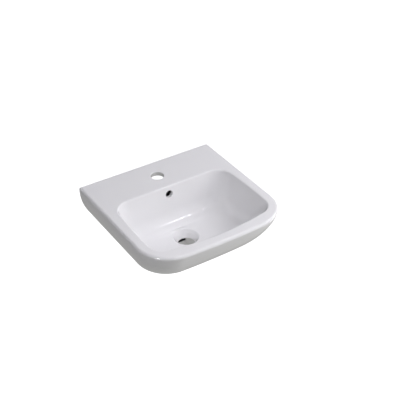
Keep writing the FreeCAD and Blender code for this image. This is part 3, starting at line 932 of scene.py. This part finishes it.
        side_end = tangent(self.side_arc, 0.0)
        front_end = tangent(self.front_arc, self.front_arc * math.sin(lean))
        back_end = self.hull_height - self.back_edge
        for share in np.linspace(0, 1, self.counts.hull_wall)[1:]:
            side_turn = share * side_end
            front_turn = lean + share * (front_end - lean)
            sections.append((
                (self.side_arc * (1 - math.cos(side_turn)),
                 self.rim_edge + self.side_arc * math.sin(side_turn)),
                (0.0, self.back_edge + share * (back_end - self.back_edge)),
                (self.front_arc * (math.cos(lean) - math.cos(front_turn)) - rounded_off,
                 self.rim_edge + self.front_arc * (math.sin(front_turn) - math.sin(lean)))))
            tightening.append(self.corner_tightening)
        side_in = self.side_arc - (self.side_arc - self.hull_foot) * math.cos(side_end)
        front_in = (self.front_arc * math.cos(lean) - rounded_off
                    - (self.front_arc - self.hull_foot) * math.cos(front_end))
        for share in np.linspace(0, 1, self.counts.foot)[1:]:
            turns = [end + share * (QUARTER - end) for end in (side_end, 0.0, front_end)]
            starts = ((side_in, foot_middle), (self.back_edge, back_end), (front_in, foot_middle))
            rounds = (self.hull_foot, self.back_edge, self.hull_foot)
            sections.append(tuple(
                (inset - size * math.cos(turn), depth + size * math.sin(turn))
                for (inset, depth), size, turn in zip(starts, rounds, turns)))
            tightening.append(self.corner_tightening)
        return sections, tightening

    def bowl_sections(self) -> list[Section]:
        """The bowl from the deck's edge, over the lip, down the wall and round into the floor.

        Returns:
            The sections, from the top down.
        """
        leans = [math.radians(angle) for angle in (
            self.bowl_side_angle, self.bowl_back_angle, self.bowl_front_angle)]
        arc_top = self.bowl_depth - self.bowl_floor_radius
        outs = [self.lip_radius * math.tan((QUARTER - lean) / 2) for lean in leans]
        starts = [arc_top + self.bowl_floor_radius * math.sin(lean) for lean in leans]
        sections = []
        for share in np.linspace(0, 1, self.counts.lip):
            turns = [share * (QUARTER - lean) for lean in leans]
            sections.append(tuple((self.lip_radius * math.sin(turn) - out,
                                   self.lip_radius * (1 - math.cos(turn)))
                                  for out, turn in zip(outs, turns)))
        lip_ends = [depth for _, depth in sections[-1]]
        for share in np.linspace(0, 1, self.counts.bowl_wall)[1:]:
            depths = [low + share * (start - low) for low, start in zip(lip_ends, starts)]
            sections.append(tuple((depth * math.tan(lean), depth)
                                  for depth, lean in zip(depths, leans)))
        last = math.radians(self.floor_angle)
        for share in np.linspace(0, 1, self.counts.floor_round)[1:]:
            section = []
            for lean, start in zip(leans, starts):
                turn = lean + share * (last - lean)
                middle = start * math.tan(lean) + self.bowl_floor_radius * math.cos(lean)
                section.append((middle - self.bowl_floor_radius * math.cos(turn),
                                arc_top + self.bowl_floor_radius * math.sin(turn)))
            sections.append(tuple(section))
        return sections

    # Loops in space

    def at_depths(self, points: np.ndarray, normals: np.ndarray,
                  depths: Sequence[float]) -> np.ndarray:
        """Puts a flat loop at its depths below the top.

        Args:
            points: the loop seen from above.
            normals: its outward normals.
            depths: the depth at the sides, the back and the front.

        Returns:
            The loop in space.
        """
        backward = np.clip(normals[:, 1], 0, None) ** 2
        forward = np.clip(-normals[:, 1], 0, None) ** 2
        sideways = 1 - backward - forward
        depth = depths[0] * sideways + depths[1] * backward + depths[2] * forward
        return np.c_[points, self.top - depth]

    def hull_rings(self) -> list[np.ndarray]:
        """The loops down the outside.

        Returns:
            The loops in space, from the top down.
        """
        rings = []
        for section, tightening in zip(*self.hull_sections()):
            (side, side_depth), (back, back_depth), (front, front_depth) = section
            loop = self.outer_loop(self.width / 2 - side, self.reach - front,
                                   self.front_corner - tightening * (side + front) / 2,
                                   back, self.heel_edge)
            rings.append(self.at_depths(*loop, (side_depth, back_depth, front_depth)))
        return rings

    def bowl_rings(self) -> list[np.ndarray]:
        """The loops down the inside of the bowl.

        Returns:
            The loops in space, from the top down.
        """
        rings = []
        for (side, side_depth), (back, back_depth), (front, front_depth) in self.bowl_sections():
            low = (side_depth + back_depth) / 2 / self.bowl_depth
            back_growth = (self.bowl_low_corner - self.bowl_back_corner) * low
            front_growth = (self.bowl_low_corner - self.bowl_front_corner) * low
            loop = self.bowl_loop(
                self.bowl_width / 2 - side, self.bowl_back_gap + back,
                self.reach - self.bowl_front_rim - front, self.bowl_widest - front / 2,
                self.bowl_back_corner + back_growth - min(back, 0.0),
                self.bowl_front_corner + front_growth - min(front, 0.0), self.bowl_side_radius)
            rings.append(self.at_depths(*loop, (side_depth, back_depth, front_depth)))
        return rings

    def waste_rings(self, bearing: np.ndarray) -> list[np.ndarray]:
        """The loops down the waste outlet, under its boss and out to the underside.

        Args:
            bearing: one direction from the waste's axis per point of a loop.

        Returns:
            The round loops.
        """
        recess, depth = self.waste_recess, self.waste_recess_depth
        path = rounded_path([
            (recess + self.floor_run, depth - self.floor_run * self.floor_fall, 0),
            (recess, depth, self.waste_recess_round),
            (self.waste_shelf, self.waste_shelf_depth, self.waste_shelf_round),
            (self.waste_bore, self.waste_seat_depth, self.waste_edge),
            (self.waste_bore, self.outlet_depth, self.waste_edge),
            (self.boss_radius, self.outlet_depth, self.boss_edge),
            (self.boss_radius, self.hull_height, self.boss_root),
            (self.boss_radius + 2 * self.boss_root, self.hull_height, 0)])
        return [self.round_ring(bearing, radius, depth) for radius, depth in path]

    def round_ring(self, bearing: np.ndarray, radius: float, depth: float) -> np.ndarray:
        """A round loop about the waste's axis."""
        middle = np.array([0.0, -self.waste_gap])
        return np.c_[middle + radius * bearing, np.full(len(bearing), self.top - depth)]

    def floor_rings(self, edge: np.ndarray, drain: np.ndarray) -> list[np.ndarray]:
        """The loops of the floor's fall from the foot of the bowl's walls to the waste.

        Args:
            edge: the loop where the walls' round ends.
            drain: the first loop of the waste.

        Returns:
            The loops between them.
        """
        run = np.linalg.norm(edge[:, :2] - drain[:, :2], axis=1)
        first_fall = run * math.tan(QUARTER - math.radians(self.floor_angle))
        last_fall = run * self.floor_fall
        rings = []
        for share in np.linspace(0, 1, self.counts.floor)[1:-1]:
            ring = edge * (1 - share) + drain * share
            start = 1 - 3 * share ** 2 + 2 * share ** 3
            rise = share - 2 * share ** 2 + share ** 3
            settle = share ** 3 - share ** 2
            ring[:, 2] = (edge[:, 2] * start + drain[:, 2] * (1 - start)
                          - first_fall * rise - last_fall * settle)
            rings.append(ring)
        return rings

    @staticmethod
    def spans(first: np.ndarray, last: np.ndarray, shares: Sequence[float]) -> list[np.ndarray]:
        """Loops part of the way between two loops."""
        return [first * (1 - share) + last * share for share in shares]

    def shell(self) -> bpy.types.Object:
        """The whole outside and inside as one skin.

        Returns:
            The ceramic, still without its pocket and holes.
        """
        hull, bowl = self.hull_rings(), self.bowl_rings()
        away = bowl[-1][:, :2] - np.array([0.0, -self.waste_gap])
        bearing = away / np.linalg.norm(away, axis=1)[:, None]
        waste = self.waste_rings(bearing)
        stack = [*waste, *self.spans(waste[-1], hull[-1], self.counts.under),
                 *reversed(hull), *self.spans(hull[0], bowl[0], self.counts.deck), *bowl,
                 *self.floor_rings(bowl[-1], waste[0])]
        builder = MeshBuilder()
        builder.rings(stack, closed=True)
        return builder.build("basin_ceramic")

    # What is taken out of it and added to it

    def side_inset(self, depth: float) -> float:
        """How far the outer side has curved inwards at a depth."""
        return self.side_arc - math.sqrt(self.side_arc ** 2 - (depth - self.rim_edge) ** 2)

    def bowl_back_face(self, depth: float) -> float:
        """Distance from the wall to the rear face of the bowl's back wall at a depth."""
        lean = math.radians(self.bowl_back_angle)
        return self.bowl_back_gap + depth * math.tan(lean) - self.bowl_wall / math.cos(lean)

    @property
    def duct_rear(self) -> float:
        """How far the overflow duct's rear face lies from the wall."""
        return self.bowl_back_face(self.deck) - self.duct_gap

    @property
    def duct_depths(self) -> tuple[float, float, float]:
        """The depths that bound the overflow duct.

        Returns:
            The depths of its top, of its roof under the bowl and of its floor.
        """
        return (self.overflow_depth - self.overflow_radius - self.overflow_crown,
                self.waste_seat_depth + self.duct_wall / 4,
                self.hull_height + self.duct_drop - self.duct_wall)

    def pocket(self) -> bpy.types.Object:
        """The open space behind the bowl, less the two flanges that stand in it.

        Returns:
            The cutter.
        """
        turns = np.linspace(0, QUARTER, self.counts.pocket_roof)
        levels = [(self.pocket_roof_round * (1 - math.sin(turn)),
                   self.deck + self.pocket_roof_round * (1 - math.cos(turn))) for turn in turns]
        lowest = self.hull_height + self.overrun
        levels += [(0.0, depth) for depth in np.linspace(
            levels[-1][1], lowest, self.counts.pocket_wall)[1:]]
        rings = []
        for inset, depth in levels:
            half = self.width / 2 - self.side_inset(depth) - self.skirt - inset
            points, _ = self.outer_loop(half, self.bowl_back_face(depth) - inset,
                                        self.pocket_corner - inset / 2, -self.overrun,
                                        self.pocket_heel)
            rings.append(np.c_[points, np.full(len(points), self.top - depth)])
        builder = MeshBuilder()
        builder.rings(rings)
        tool = builder.build("pocket")
        flanges = []
        for side in Side:
            inner, outer = side.value * self.flange_inner, side.value * self.width
            outline = [(inner, 2 * self.overrun), (outer, 2 * self.overrun),
                       (outer, -self.flange), (inner, -self.flange)]
            flanges.append(slab(f"{side.word}_flange", outline, self.top - self.flange_low,
                                self.top - self.deck / 2, Matrix.Identity(3), self.flange_edge))
        carve(tool, flanges, "DIFFERENCE")
        return tool

    def upright(self, outline: Sequence[tuple[float, float]], name: str, half: float,
                edge: float) -> bpy.types.Object:
        """A slab that lies across the middle.

        Args:
            outline: its corners, as distances from the wall and depths.
            name: the object's name.
            half: half its width.
            edge: the radius on all its edges.

        Returns:
            The slab.
        """
        turned = Matrix(((0, 0, 1), (1, 0, 0), (0, 1, 0)))
        corners = [(-gap, self.top - depth) for gap, depth in outline]
        return slab(name, corners, -half, half, turned, edge)

    def duct_case(self) -> bpy.types.Object:
        """The raised casing of the overflow duct, ending inside the boss.

        Returns:
            The casing, ready to be joined to the body.
        """
        rear = self.duct_rear - self.duct_wall
        deep = self.hull_height + self.duct_drop
        heel = self.hull_height - self.hull_foot
        case = self.upright([
            (self.bowl_back_face(self.deck / 2) + self.bowl_wall / 2, self.deck / 2),
            (self.bowl_back_face(heel) + self.bowl_wall / 2, heel),
            (self.waste_gap, self.hull_height - self.duct_root), (self.waste_gap, deep),
            (rear + 2 * self.duct_wall, deep), (rear, deep - 2 * self.duct_wall),
            (rear, self.deck / 2)], "duct_case", self.duct_width / 2 + self.duct_wall,
            self.duct_edge)
        inside = (self.waste_bore + self.boss_radius) / 2
        core = lathe("core", [(0, -self.outlet_depth), (inside, -self.outlet_depth), (inside, 0),
                              (0, 0)], Matrix.Translation((0, -self.waste_gap, self.top)))
        carve(case, [core], "DIFFERENCE")
        return case

    def duct(self) -> bpy.types.Object:
        """The overflow duct, from the overflow hole to the waste outlet.

        Returns:
            The cutter.
        """
        rear, (first, roof, deep) = self.duct_rear, self.duct_depths
        return self.upright([
            (self.bowl_back_face(first), first), (self.bowl_back_face(roof), roof),
            (self.waste_gap, roof), (self.waste_gap, deep), (rear + 2 * self.duct_wall, deep),
            (rear, deep - 2 * self.duct_wall), (rear, first)], "duct", self.duct_width / 2, 0.0)

    @staticmethod
    def flared_tool(name: str, radius: float, edge: float, length: float, ends: int,
                    place: Matrix) -> bpy.types.Object:
        """A round cutter that leaves rounded edges where it enters, and where it leaves.

        Args:
            name: its name.
            radius: the hole's radius.
            edge: the radius of the rounded edge.
            length: the wall's thickness.
            ends: 2 to round both edges of the hole and 1 for the first alone.
            place: where the hole starts; the hole runs against its Z axis.

        Returns:
            The cutter.
        """
        wide, beyond = radius + edge, CUTTER_REACH
        turns = np.linspace(0, QUARTER, FLARE_STEPS)
        flare = [(wide - edge * math.sin(turn), edge * math.cos(turn) - edge) for turn in turns]
        path = [(0, beyond), (wide, beyond), *flare]
        if ends == 2:
            path += [(across, -length - height) for across, height in reversed(flare)]
            path += [(wide, -length - beyond), (0, -length - beyond)]
        else:
            path += [(radius, -length), (0, -length)]
        return lathe(name, path, place, segments=HOLE_FACETS)

    def holes(self) -> list[bpy.types.Object]:
        """The tap hole, the overflow hole and the two holes for the wall fixings.

        Returns:
            The cutters.
        """
        tap = self.flared_tool("tap", self.tap_radius, self.tap_edge, self.deck, 2,
                               Matrix.Translation((0, -self.tap_gap, self.top)))
        lean = math.radians(self.bowl_back_angle)
        gap = self.bowl_back_gap + self.overflow_depth * math.tan(lean)
        into_bowl = (Matrix.Translation((0, -gap, self.top - self.overflow_depth))
                     @ Matrix.Rotation(QUARTER - lean, 4, "X"))
        overflow = self.flared_tool("overflow", self.overflow_radius, self.overflow_edge,
                                    self.bowl_wall + self.duct_gap / 2, 1, into_bowl)
        fixings = [self.flared_tool(
            f"{side.word}_fixing", self.fixing_hole, self.fixing_edge, self.flange, 2,
            Matrix.Translation((side.value * self.fixing_spread, 0, 0))
            @ Matrix.Rotation(-QUARTER, 4, "X")) for side in Side]
        return [tap, overflow, *fixings]

    def build(self, material: bpy.types.Material) -> bpy.types.Object:
        """Makes the ceramic.

        Args:
            material: its glaze.

        Returns:
            The finished piece.
        """
        body = self.shell()
        carve(body, [self.pocket()], "DIFFERENCE")
        carve(body, [self.duct_case()], "UNION")
        carve(body, [self.duct(), *self.holes()], "DIFFERENCE")
        finish_shading(body, self.crisp_angle)
        hand_over(body, material, Slot.CERAMIC, "basin_body")
        return body


# ----------------------------------------------------------------------------------------------
# The wall fixings
# ----------------------------------------------------------------------------------------------

@dataclass
class WallFixing:
    """One set that holds the basin: bolt, plug, bush, washer and nut on an axis along Y."""

    side: Side
    spread: float = 140.0
    flange: float = 16.0
    bolt_radius: float = 5.0
    bolt_front: float = 40.0
    bolt_back: float = 56.0
    bolt_chamfer: float = 1.2
    bolt_tip: float = 9.0
    bolt_tip_radius: float = 1.5
    machine_pitch: float = 1.5
    machine_depth: float = 0.9
    machine_length: float = 34.0
    machine_steps: int = 8
    wood_pitch: float = 4.0
    wood_depth: float = 1.4
    wood_start: float = 8.0
    wood_runout: float = 0.2
    wood_crest: float = 2.6
    wood_steps: int = 12
    bolt_facets: int = 40
    bolt_crisp_angle: float = 50.0
    shank_radius: float = 4.6
    plug_radius: float = 7.0
    plug_length: float = 62.0
    plug_nose: float = 6.0
    plug_nose_radius: float = 5.6
    plug_tooth: float = 4.0
    plug_tooth_depth: float = 0.6
    plug_tooth_rise: float = 0.3
    plug_collar: float = 12.0
    plug_slot: float = 1.4
    plug_slot_start: float = 6.0
    plug_slot_overrun: float = 1.0
    plug_facets: int = 48
    plug_crisp_angle: float = 35.0
    bore: float = 5.3
    bush_flange: float = 18.0
    bush_flange_thickness: float = 4.0
    bush_shank: float = 9.7
    bush_end: float = 1.0
    bush_bore_edge: float = 0.4
    bush_front_edge: float = 1.2
    bush_edge: float = 0.8
    washer_radius: float = 15.0
    washer_thickness: float = 2.5
    washer_bore_edge: float = 0.3
    washer_edge: float = 0.6
    ring_step: float = 22.5
    ring_crisp_angle: float = 40.0

    def place(self) -> Matrix:
        """Turns a piece's own Z axis to +Y, into the wall, on the fixing's axis."""
        return (Matrix.Translation((self.side.value * self.spread, 0, 0))
                @ Matrix.Rotation(-QUARTER, 4, "X"))

    def turned(self, name: str, corners: Sequence[tuple[float, float, float]]) -> bpy.types.Object:
        """A turned ring with rounded corners.

        Args:
            name: the ring's name without its side.
            corners: radius, place along +Y and corner radius of each corner.

        Returns:
            The ring.
        """
        outline = rounded_path(corners, closed=True, step=self.ring_step)
        made = lathe(f"{self.side.word}_{name}", outline, self.place())
        finish_shading(made, self.ring_crisp_angle)
        return made

    def bolt_radius_at(self, along: float, angles: np.ndarray) -> np.ndarray:
        """The bolt's radius all round at a place along it.

        Args:
            along: the place, positive into the wall.
            angles: the directions, in radians.

        Returns:
            A radius for each direction.
        """
        turn = angles / (2 * math.pi)
        if along < self.machine_length - self.bolt_front:
            wave = np.abs(2 * ((along / self.machine_pitch - turn) % 1) - 1)
            radius = self.bolt_radius - self.machine_depth * wave
            chamfer = self.bolt_radius - self.bolt_chamfer + along + self.bolt_front
            return np.minimum(radius, chamfer)
        if along < self.wood_start:
            return np.full(len(angles), self.shank_radius)
        wave = np.abs(2 * ((along / self.wood_pitch - turn) % 1) - 1)
        crest = np.clip(1 - self.wood_crest * wave, 0, None)
        radius = self.bolt_radius - self.wood_depth * (1 - crest)
        from_tip = (self.bolt_back - along) / self.bolt_tip
        if from_tip < 1:
            taper = self.bolt_tip_radius / self.bolt_radius
            radius = radius * (taper + (1 - taper) * from_tip)
        return radius

    def build_bolt(self) -> bpy.types.Object:
        """The hanger bolt: a machine thread in front and a wood screw thread in the plug.

        Returns:
            The bolt.
        """
        angles = np.linspace(0, 2 * math.pi, self.bolt_facets, endpoint=False)
        thread_end = self.machine_length - self.bolt_front
        stations = np.concatenate([
            np.arange(-self.bolt_front, thread_end, self.machine_pitch / self.machine_steps),
            np.array([thread_end, self.wood_start - self.wood_runout]),
            np.arange(self.wood_start, self.bolt_back, self.wood_pitch / self.wood_steps),
            np.array([self.bolt_back])])
        place, rings = self.place(), []
        for along in stations:
            radius = self.bolt_radius_at(float(along), angles)
            ring = np.c_[radius * np.cos(angles), radius * np.sin(angles),
                         np.full(len(angles), along)]
            rings.append(np.array([place @ Vector(point) for point in ring]))
        builder = MeshBuilder()
        builder.rings(rings)
        made = builder.build(f"{self.side.word}_threaded_bolt")
        finish_shading(made, self.bolt_crisp_angle)
        return made

    def build_plug(self) -> bpy.types.Object:
        """The wall plug: a slotted sleeve with barbs along it and a tapered nose.

        Returns:
            The plug.
        """
        outside: list[tuple[float, float]] = [(self.bore, 0), (self.plug_radius, 0)]
        along, shoulder = self.plug_collar, self.plug_length - self.plug_nose
        while along + self.plug_tooth <= shoulder:
            outside += [(self.plug_radius, along),
                        (self.plug_radius - self.plug_tooth_depth, along + self.plug_tooth_rise)]
            along += self.plug_tooth
        outside += [(self.plug_radius, shoulder), (self.plug_nose_radius, self.plug_length),
                    (self.bore, self.plug_length)]
        plug = lathe(f"{self.side.word}_barbed_plug", outside, self.place(),
                     segments=self.plug_facets)
        wide = 2 * self.plug_radius
        slots = []
        for turn in (math.pi / 4, 3 * math.pi / 4):
            half = self.plug_slot / 2
            slots.append(slab("slot", [(-wide, -half), (wide, -half), (wide, half), (-wide, half)],
                              self.plug_slot_start, self.plug_length + self.plug_slot_overrun,
                              self.place() @ Matrix.Rotation(turn, 4, "Z")))
        carve(plug, slots, "DIFFERENCE")
        finish_shading(plug, self.plug_crisp_angle)
        return plug

    def build(self, steel: bpy.types.Material, white: bpy.types.Material,
              grey: bpy.types.Material, nodes: dict[str, bpy.types.Object]) -> None:
        """Makes and dresses the set.

        Args:
            steel: the plating.
            white: the bush's nylon.
            grey: the plug's nylon.
            nodes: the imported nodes, of which the nut stays.
        """
        word = self.side.word
        seat = -self.flange
        face = seat - self.bush_flange_thickness
        bush = self.turned("bush", [
            (self.bore, face, self.bush_bore_edge),
            (self.bush_flange, face, self.bush_front_edge),
            (self.bush_flange, seat, self.bush_edge), (self.bush_shank, seat, 0.0),
            (self.bush_shank, -self.bush_end, self.bush_edge),
            (self.bore, -self.bush_end, self.bush_bore_edge)])
        washer = self.turned("plain_washer", [
            (self.bore, face - self.washer_thickness, self.washer_bore_edge),
            (self.washer_radius, face - self.washer_thickness, self.washer_edge),
            (self.washer_radius, face, self.washer_edge),
            (self.bore, face, self.washer_bore_edge)])
        for piece, finish, slot, node in (
                (self.build_bolt(), steel, Slot.STEEL, "hanger_bolt"),
                (self.build_plug(), grey, Slot.GREY_NYLON, "wall_plug"),
                (bush, white, Slot.WHITE_NYLON, "flanged_bush"),
                (washer, steel, Slot.STEEL, "washer")):
            hand_over(piece, finish, slot, f"{word}_{node}")
        nut = nodes[f"{word}_hex_nut"]
        for index in range(len(nut.material_slots)):
            nut.material_slots[index].material = steel
        LOG.info("%s_hex_nut: kept as packed", word)


# ----------------------------------------------------------------------------------------------
# The studio
# ----------------------------------------------------------------------------------------------

# The tints of the light from above and from below.
SKY = (1.0, 0.990, 1.038)
GROUND = (1.0, 1.0, 0.975)


@dataclass(frozen=True)
class SoftLight:
    """One soft light: a round area lamp aimed at the basin."""

    name: str
    azimuth: float
    elevation: float
    size: float
    watts: float
    mirrored: bool = False
    lit: bool = True
    tint: tuple[float, float, float] = SKY
    distance: float = 1.8


@dataclass(frozen=True)
class Glow:
    """A broad glow of the white surroundings about one direction."""

    azimuth: float
    elevation: float
    focus: float
    strength: float


@dataclass
class Studio:
    """Pale floor, white surroundings, soft lights and the camera at the photograph's angle."""

    azimuth: float = -33.10
    elevation: float = 35.51
    distance: float = 2.29254
    lens: float = 81.0
    sensor: float = 36.0
    aim_right: float = 0.03367
    aim_forward: float = 0.21731
    floor_gap: float = 2.5
    floor_size: float = 60.0
    lamp_forward: float = 0.2
    lamp_height: float = 0.05
    glows: tuple[Glow, ...] = (
        Glow(0.0, -90.0, 1.0, 0.44),
        Glow(90.0, 0.0, 1.0, 0.10),
        Glow(30.0, 50.0, 8.0, 0.22),
        Glow(-30.0, 50.0, 8.0, 0.134),
    )
    lights: tuple[SoftLight, ...] = (
        SoftLight("front", 0.0, 50.0, 0.8, 6.1),
        SoftLight("front_right", 45.0, 45.0, 0.8, 6.55),
        SoftLight("front_left", -45.0, 45.0, 0.8, 1.85),
        SoftLight("left", -90.0, 45.0, 0.8, 2.56),
        SoftLight("left_top", -90.0, 75.0, 0.8, 1.7),
        SoftLight("low_right", 45.0, 15.0, 0.8, 5.5, tint=GROUND),
        SoftLight("under_right", 70.0, -15.0, 0.8, 9.0, tint=GROUND),
        SoftLight("low_back", 135.0, 15.0, 0.8, 5.7),
        SoftLight("side", 90.0, 40.0, 0.8, 4.6, mirrored=True),
        SoftLight("window", 67.0, 32.0, 0.5, 1.2, mirrored=True),
        SoftLight("streak", 52.0, 56.0, 0.17, 1.2, mirrored=True, lit=False),
        SoftLight("corner_glint", -60.0, 15.0, 0.3, 14.0, mirrored=True, lit=False),
        SoftLight("dish_glint", 67.0, 32.0, 0.25, 3.0, mirrored=True, lit=False),
    )

    @staticmethod
    def bearing(azimuth: float, elevation: float) -> Vector:
        """The direction towards a viewer.

        Args:
            azimuth: how far round from the front, in degrees; positive towards +X.
            elevation: how far up, in degrees.

        Returns:
            The unit vector.
        """
        turn, rise = math.radians(azimuth), math.radians(elevation)
        return Vector((math.sin(turn) * math.cos(rise), -math.cos(turn) * math.cos(rise),
                       math.sin(rise)))

    @staticmethod
    def facing(back: Vector) -> Matrix:
        """A rotation whose own Z axis is back and whose Y axis is as upright as it can be."""
        right = Vector((0, 0, 1)).cross(back).normalized()
        return Matrix((right, back.cross(right), back)).transposed().to_4x4()

    def build_camera(self, top: float) -> None:
        """Puts the camera at the photograph's angle.

        Args:
            top: the height of the basin's flat top.
        """
        back = self.bearing(self.azimuth, self.elevation)
        aim = Vector((self.aim_right, -self.aim_forward, top))
        data = bpy.data.cameras.new("camera")
        data.lens = self.lens
        data.sensor_width = self.sensor
        camera = bpy.data.objects.new("camera", data)
        camera.matrix_world = Matrix.Translation(aim + back * self.distance) @ self.facing(back)
        bpy.context.scene.collection.objects.link(camera)
        bpy.context.scene.camera = camera

    def build_lights(self, middle: Vector) -> None:
        """Hangs the soft lights round the basin.

        Args:
            middle: the point that they face.
        """
        for light in self.lights:
            back = self.bearing(light.azimuth, light.elevation)
            data = bpy.data.lights.new(light.name, "AREA")
            data.shape = "DISK"
            data.size = light.size
            data.energy = light.watts
            data.color = light.tint
            lamp = bpy.data.objects.new(light.name, data)
            lamp.visible_glossy = light.mirrored
            lamp.visible_diffuse = light.lit
            lamp.matrix_world = (Matrix.Translation(middle + back * light.distance)
                                 @ self.facing(back))
            bpy.context.scene.collection.objects.link(lamp)

    def build_surroundings(self) -> None:
        """The surroundings: white, and brighter where the glows are."""
        world = bpy.data.worlds.new("white_room")
        net = NodeNet("white_room", world)
        outward = net.node("ShaderNodeTexCoord", output="Generated")
        total: Value | float = 0.0
        for glow in self.glows:
            facing = net.node("ShaderNodeVectorMath", {"operation": "DOT_PRODUCT"},
                              {0: outward, 1: self.bearing(glow.azimuth, glow.elevation)},
                              output="Value")
            total = total + (facing * 0.5 + 0.5) ** glow.focus * glow.strength
        _, _, up = (Value(net, socket) for socket in net.node(
            "ShaderNodeSeparateXYZ", inputs={0: outward}).socket.node.outputs)
        net.dress(Color=net.blend(up.band(-1.0, 1.0), GROUND, SKY), Strength=total)
        bpy.context.scene.world = world

    def build_floor(self, low: float) -> None:
        """The pale floor, far enough below to leave the basin's underside to the surroundings.

        Args:
            low: the height of the basin's lowest point.
        """
        mesh = bpy.data.meshes.new("floor")
        half, level = self.floor_size / 2, low - self.floor_gap
        mesh.from_pydata([(-half, -half, level), (half, -half, level), (half, half, level),
                          (-half, half, level)], [], [(0, 1, 2, 3)])
        floor = bpy.data.objects.new("floor", mesh)
        floor.visible_diffuse = False
        floor.visible_glossy = False
        bpy.context.scene.collection.objects.link(floor)
        net = NodeNet("pale_floor")
        tone = net.blend(net.noise(1.5, 1.0), (0.90, 0.90, 0.90), (0.93, 0.93, 0.93))
        net.dress(Base_Color=tone, Roughness=0.9, Emission_Color=(1.0, 1.0, 1.0, 1.0),
                  Emission_Strength=1.0)
        floor.data.materials.append(net.material)

    def build(self, low: Vector, high: Vector) -> None:
        """Makes everything round the basin.

        Args:
            low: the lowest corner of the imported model.
            high: its highest corner.
        """
        self.build_camera(high.z)
        self.build_lights(Vector(((low.x + high.x) / 2, -self.lamp_forward, self.lamp_height)))
        self.build_surroundings()
        self.build_floor(low.z)
        bpy.context.scene.view_settings.view_transform = "Standard"


def main() -> None:
    """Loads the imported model, then makes its visible pieces, the studio and the camera."""
    logging.basicConfig(level=logging.INFO, format="%(name)s: %(message)s")
    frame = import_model()
    low, high = (Vector(corner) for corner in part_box("basin_body"))
    ceramic = BasinCeramic((high.x - low.x) / MM, -low.y / MM, high.z / MM)
    glaze = SanitaryGlaze().material(ceramic)
    zinc = ZincPlate().material()
    white = MouldedNylon("white_nylon", (0.78, 0.77, 0.72), (0.70, 0.69, 0.63)).material()
    grey = MouldedNylon("grey_nylon", (0.17, 0.175, 0.18), (0.13, 0.135, 0.14)).material()
    ceramic.build(glaze)
    for side in Side:
        WallFixing(side).build(zinc, white, grey, frame["nodes"])
    Studio().build(low, high)


if __name__ == "__main__":
    main()
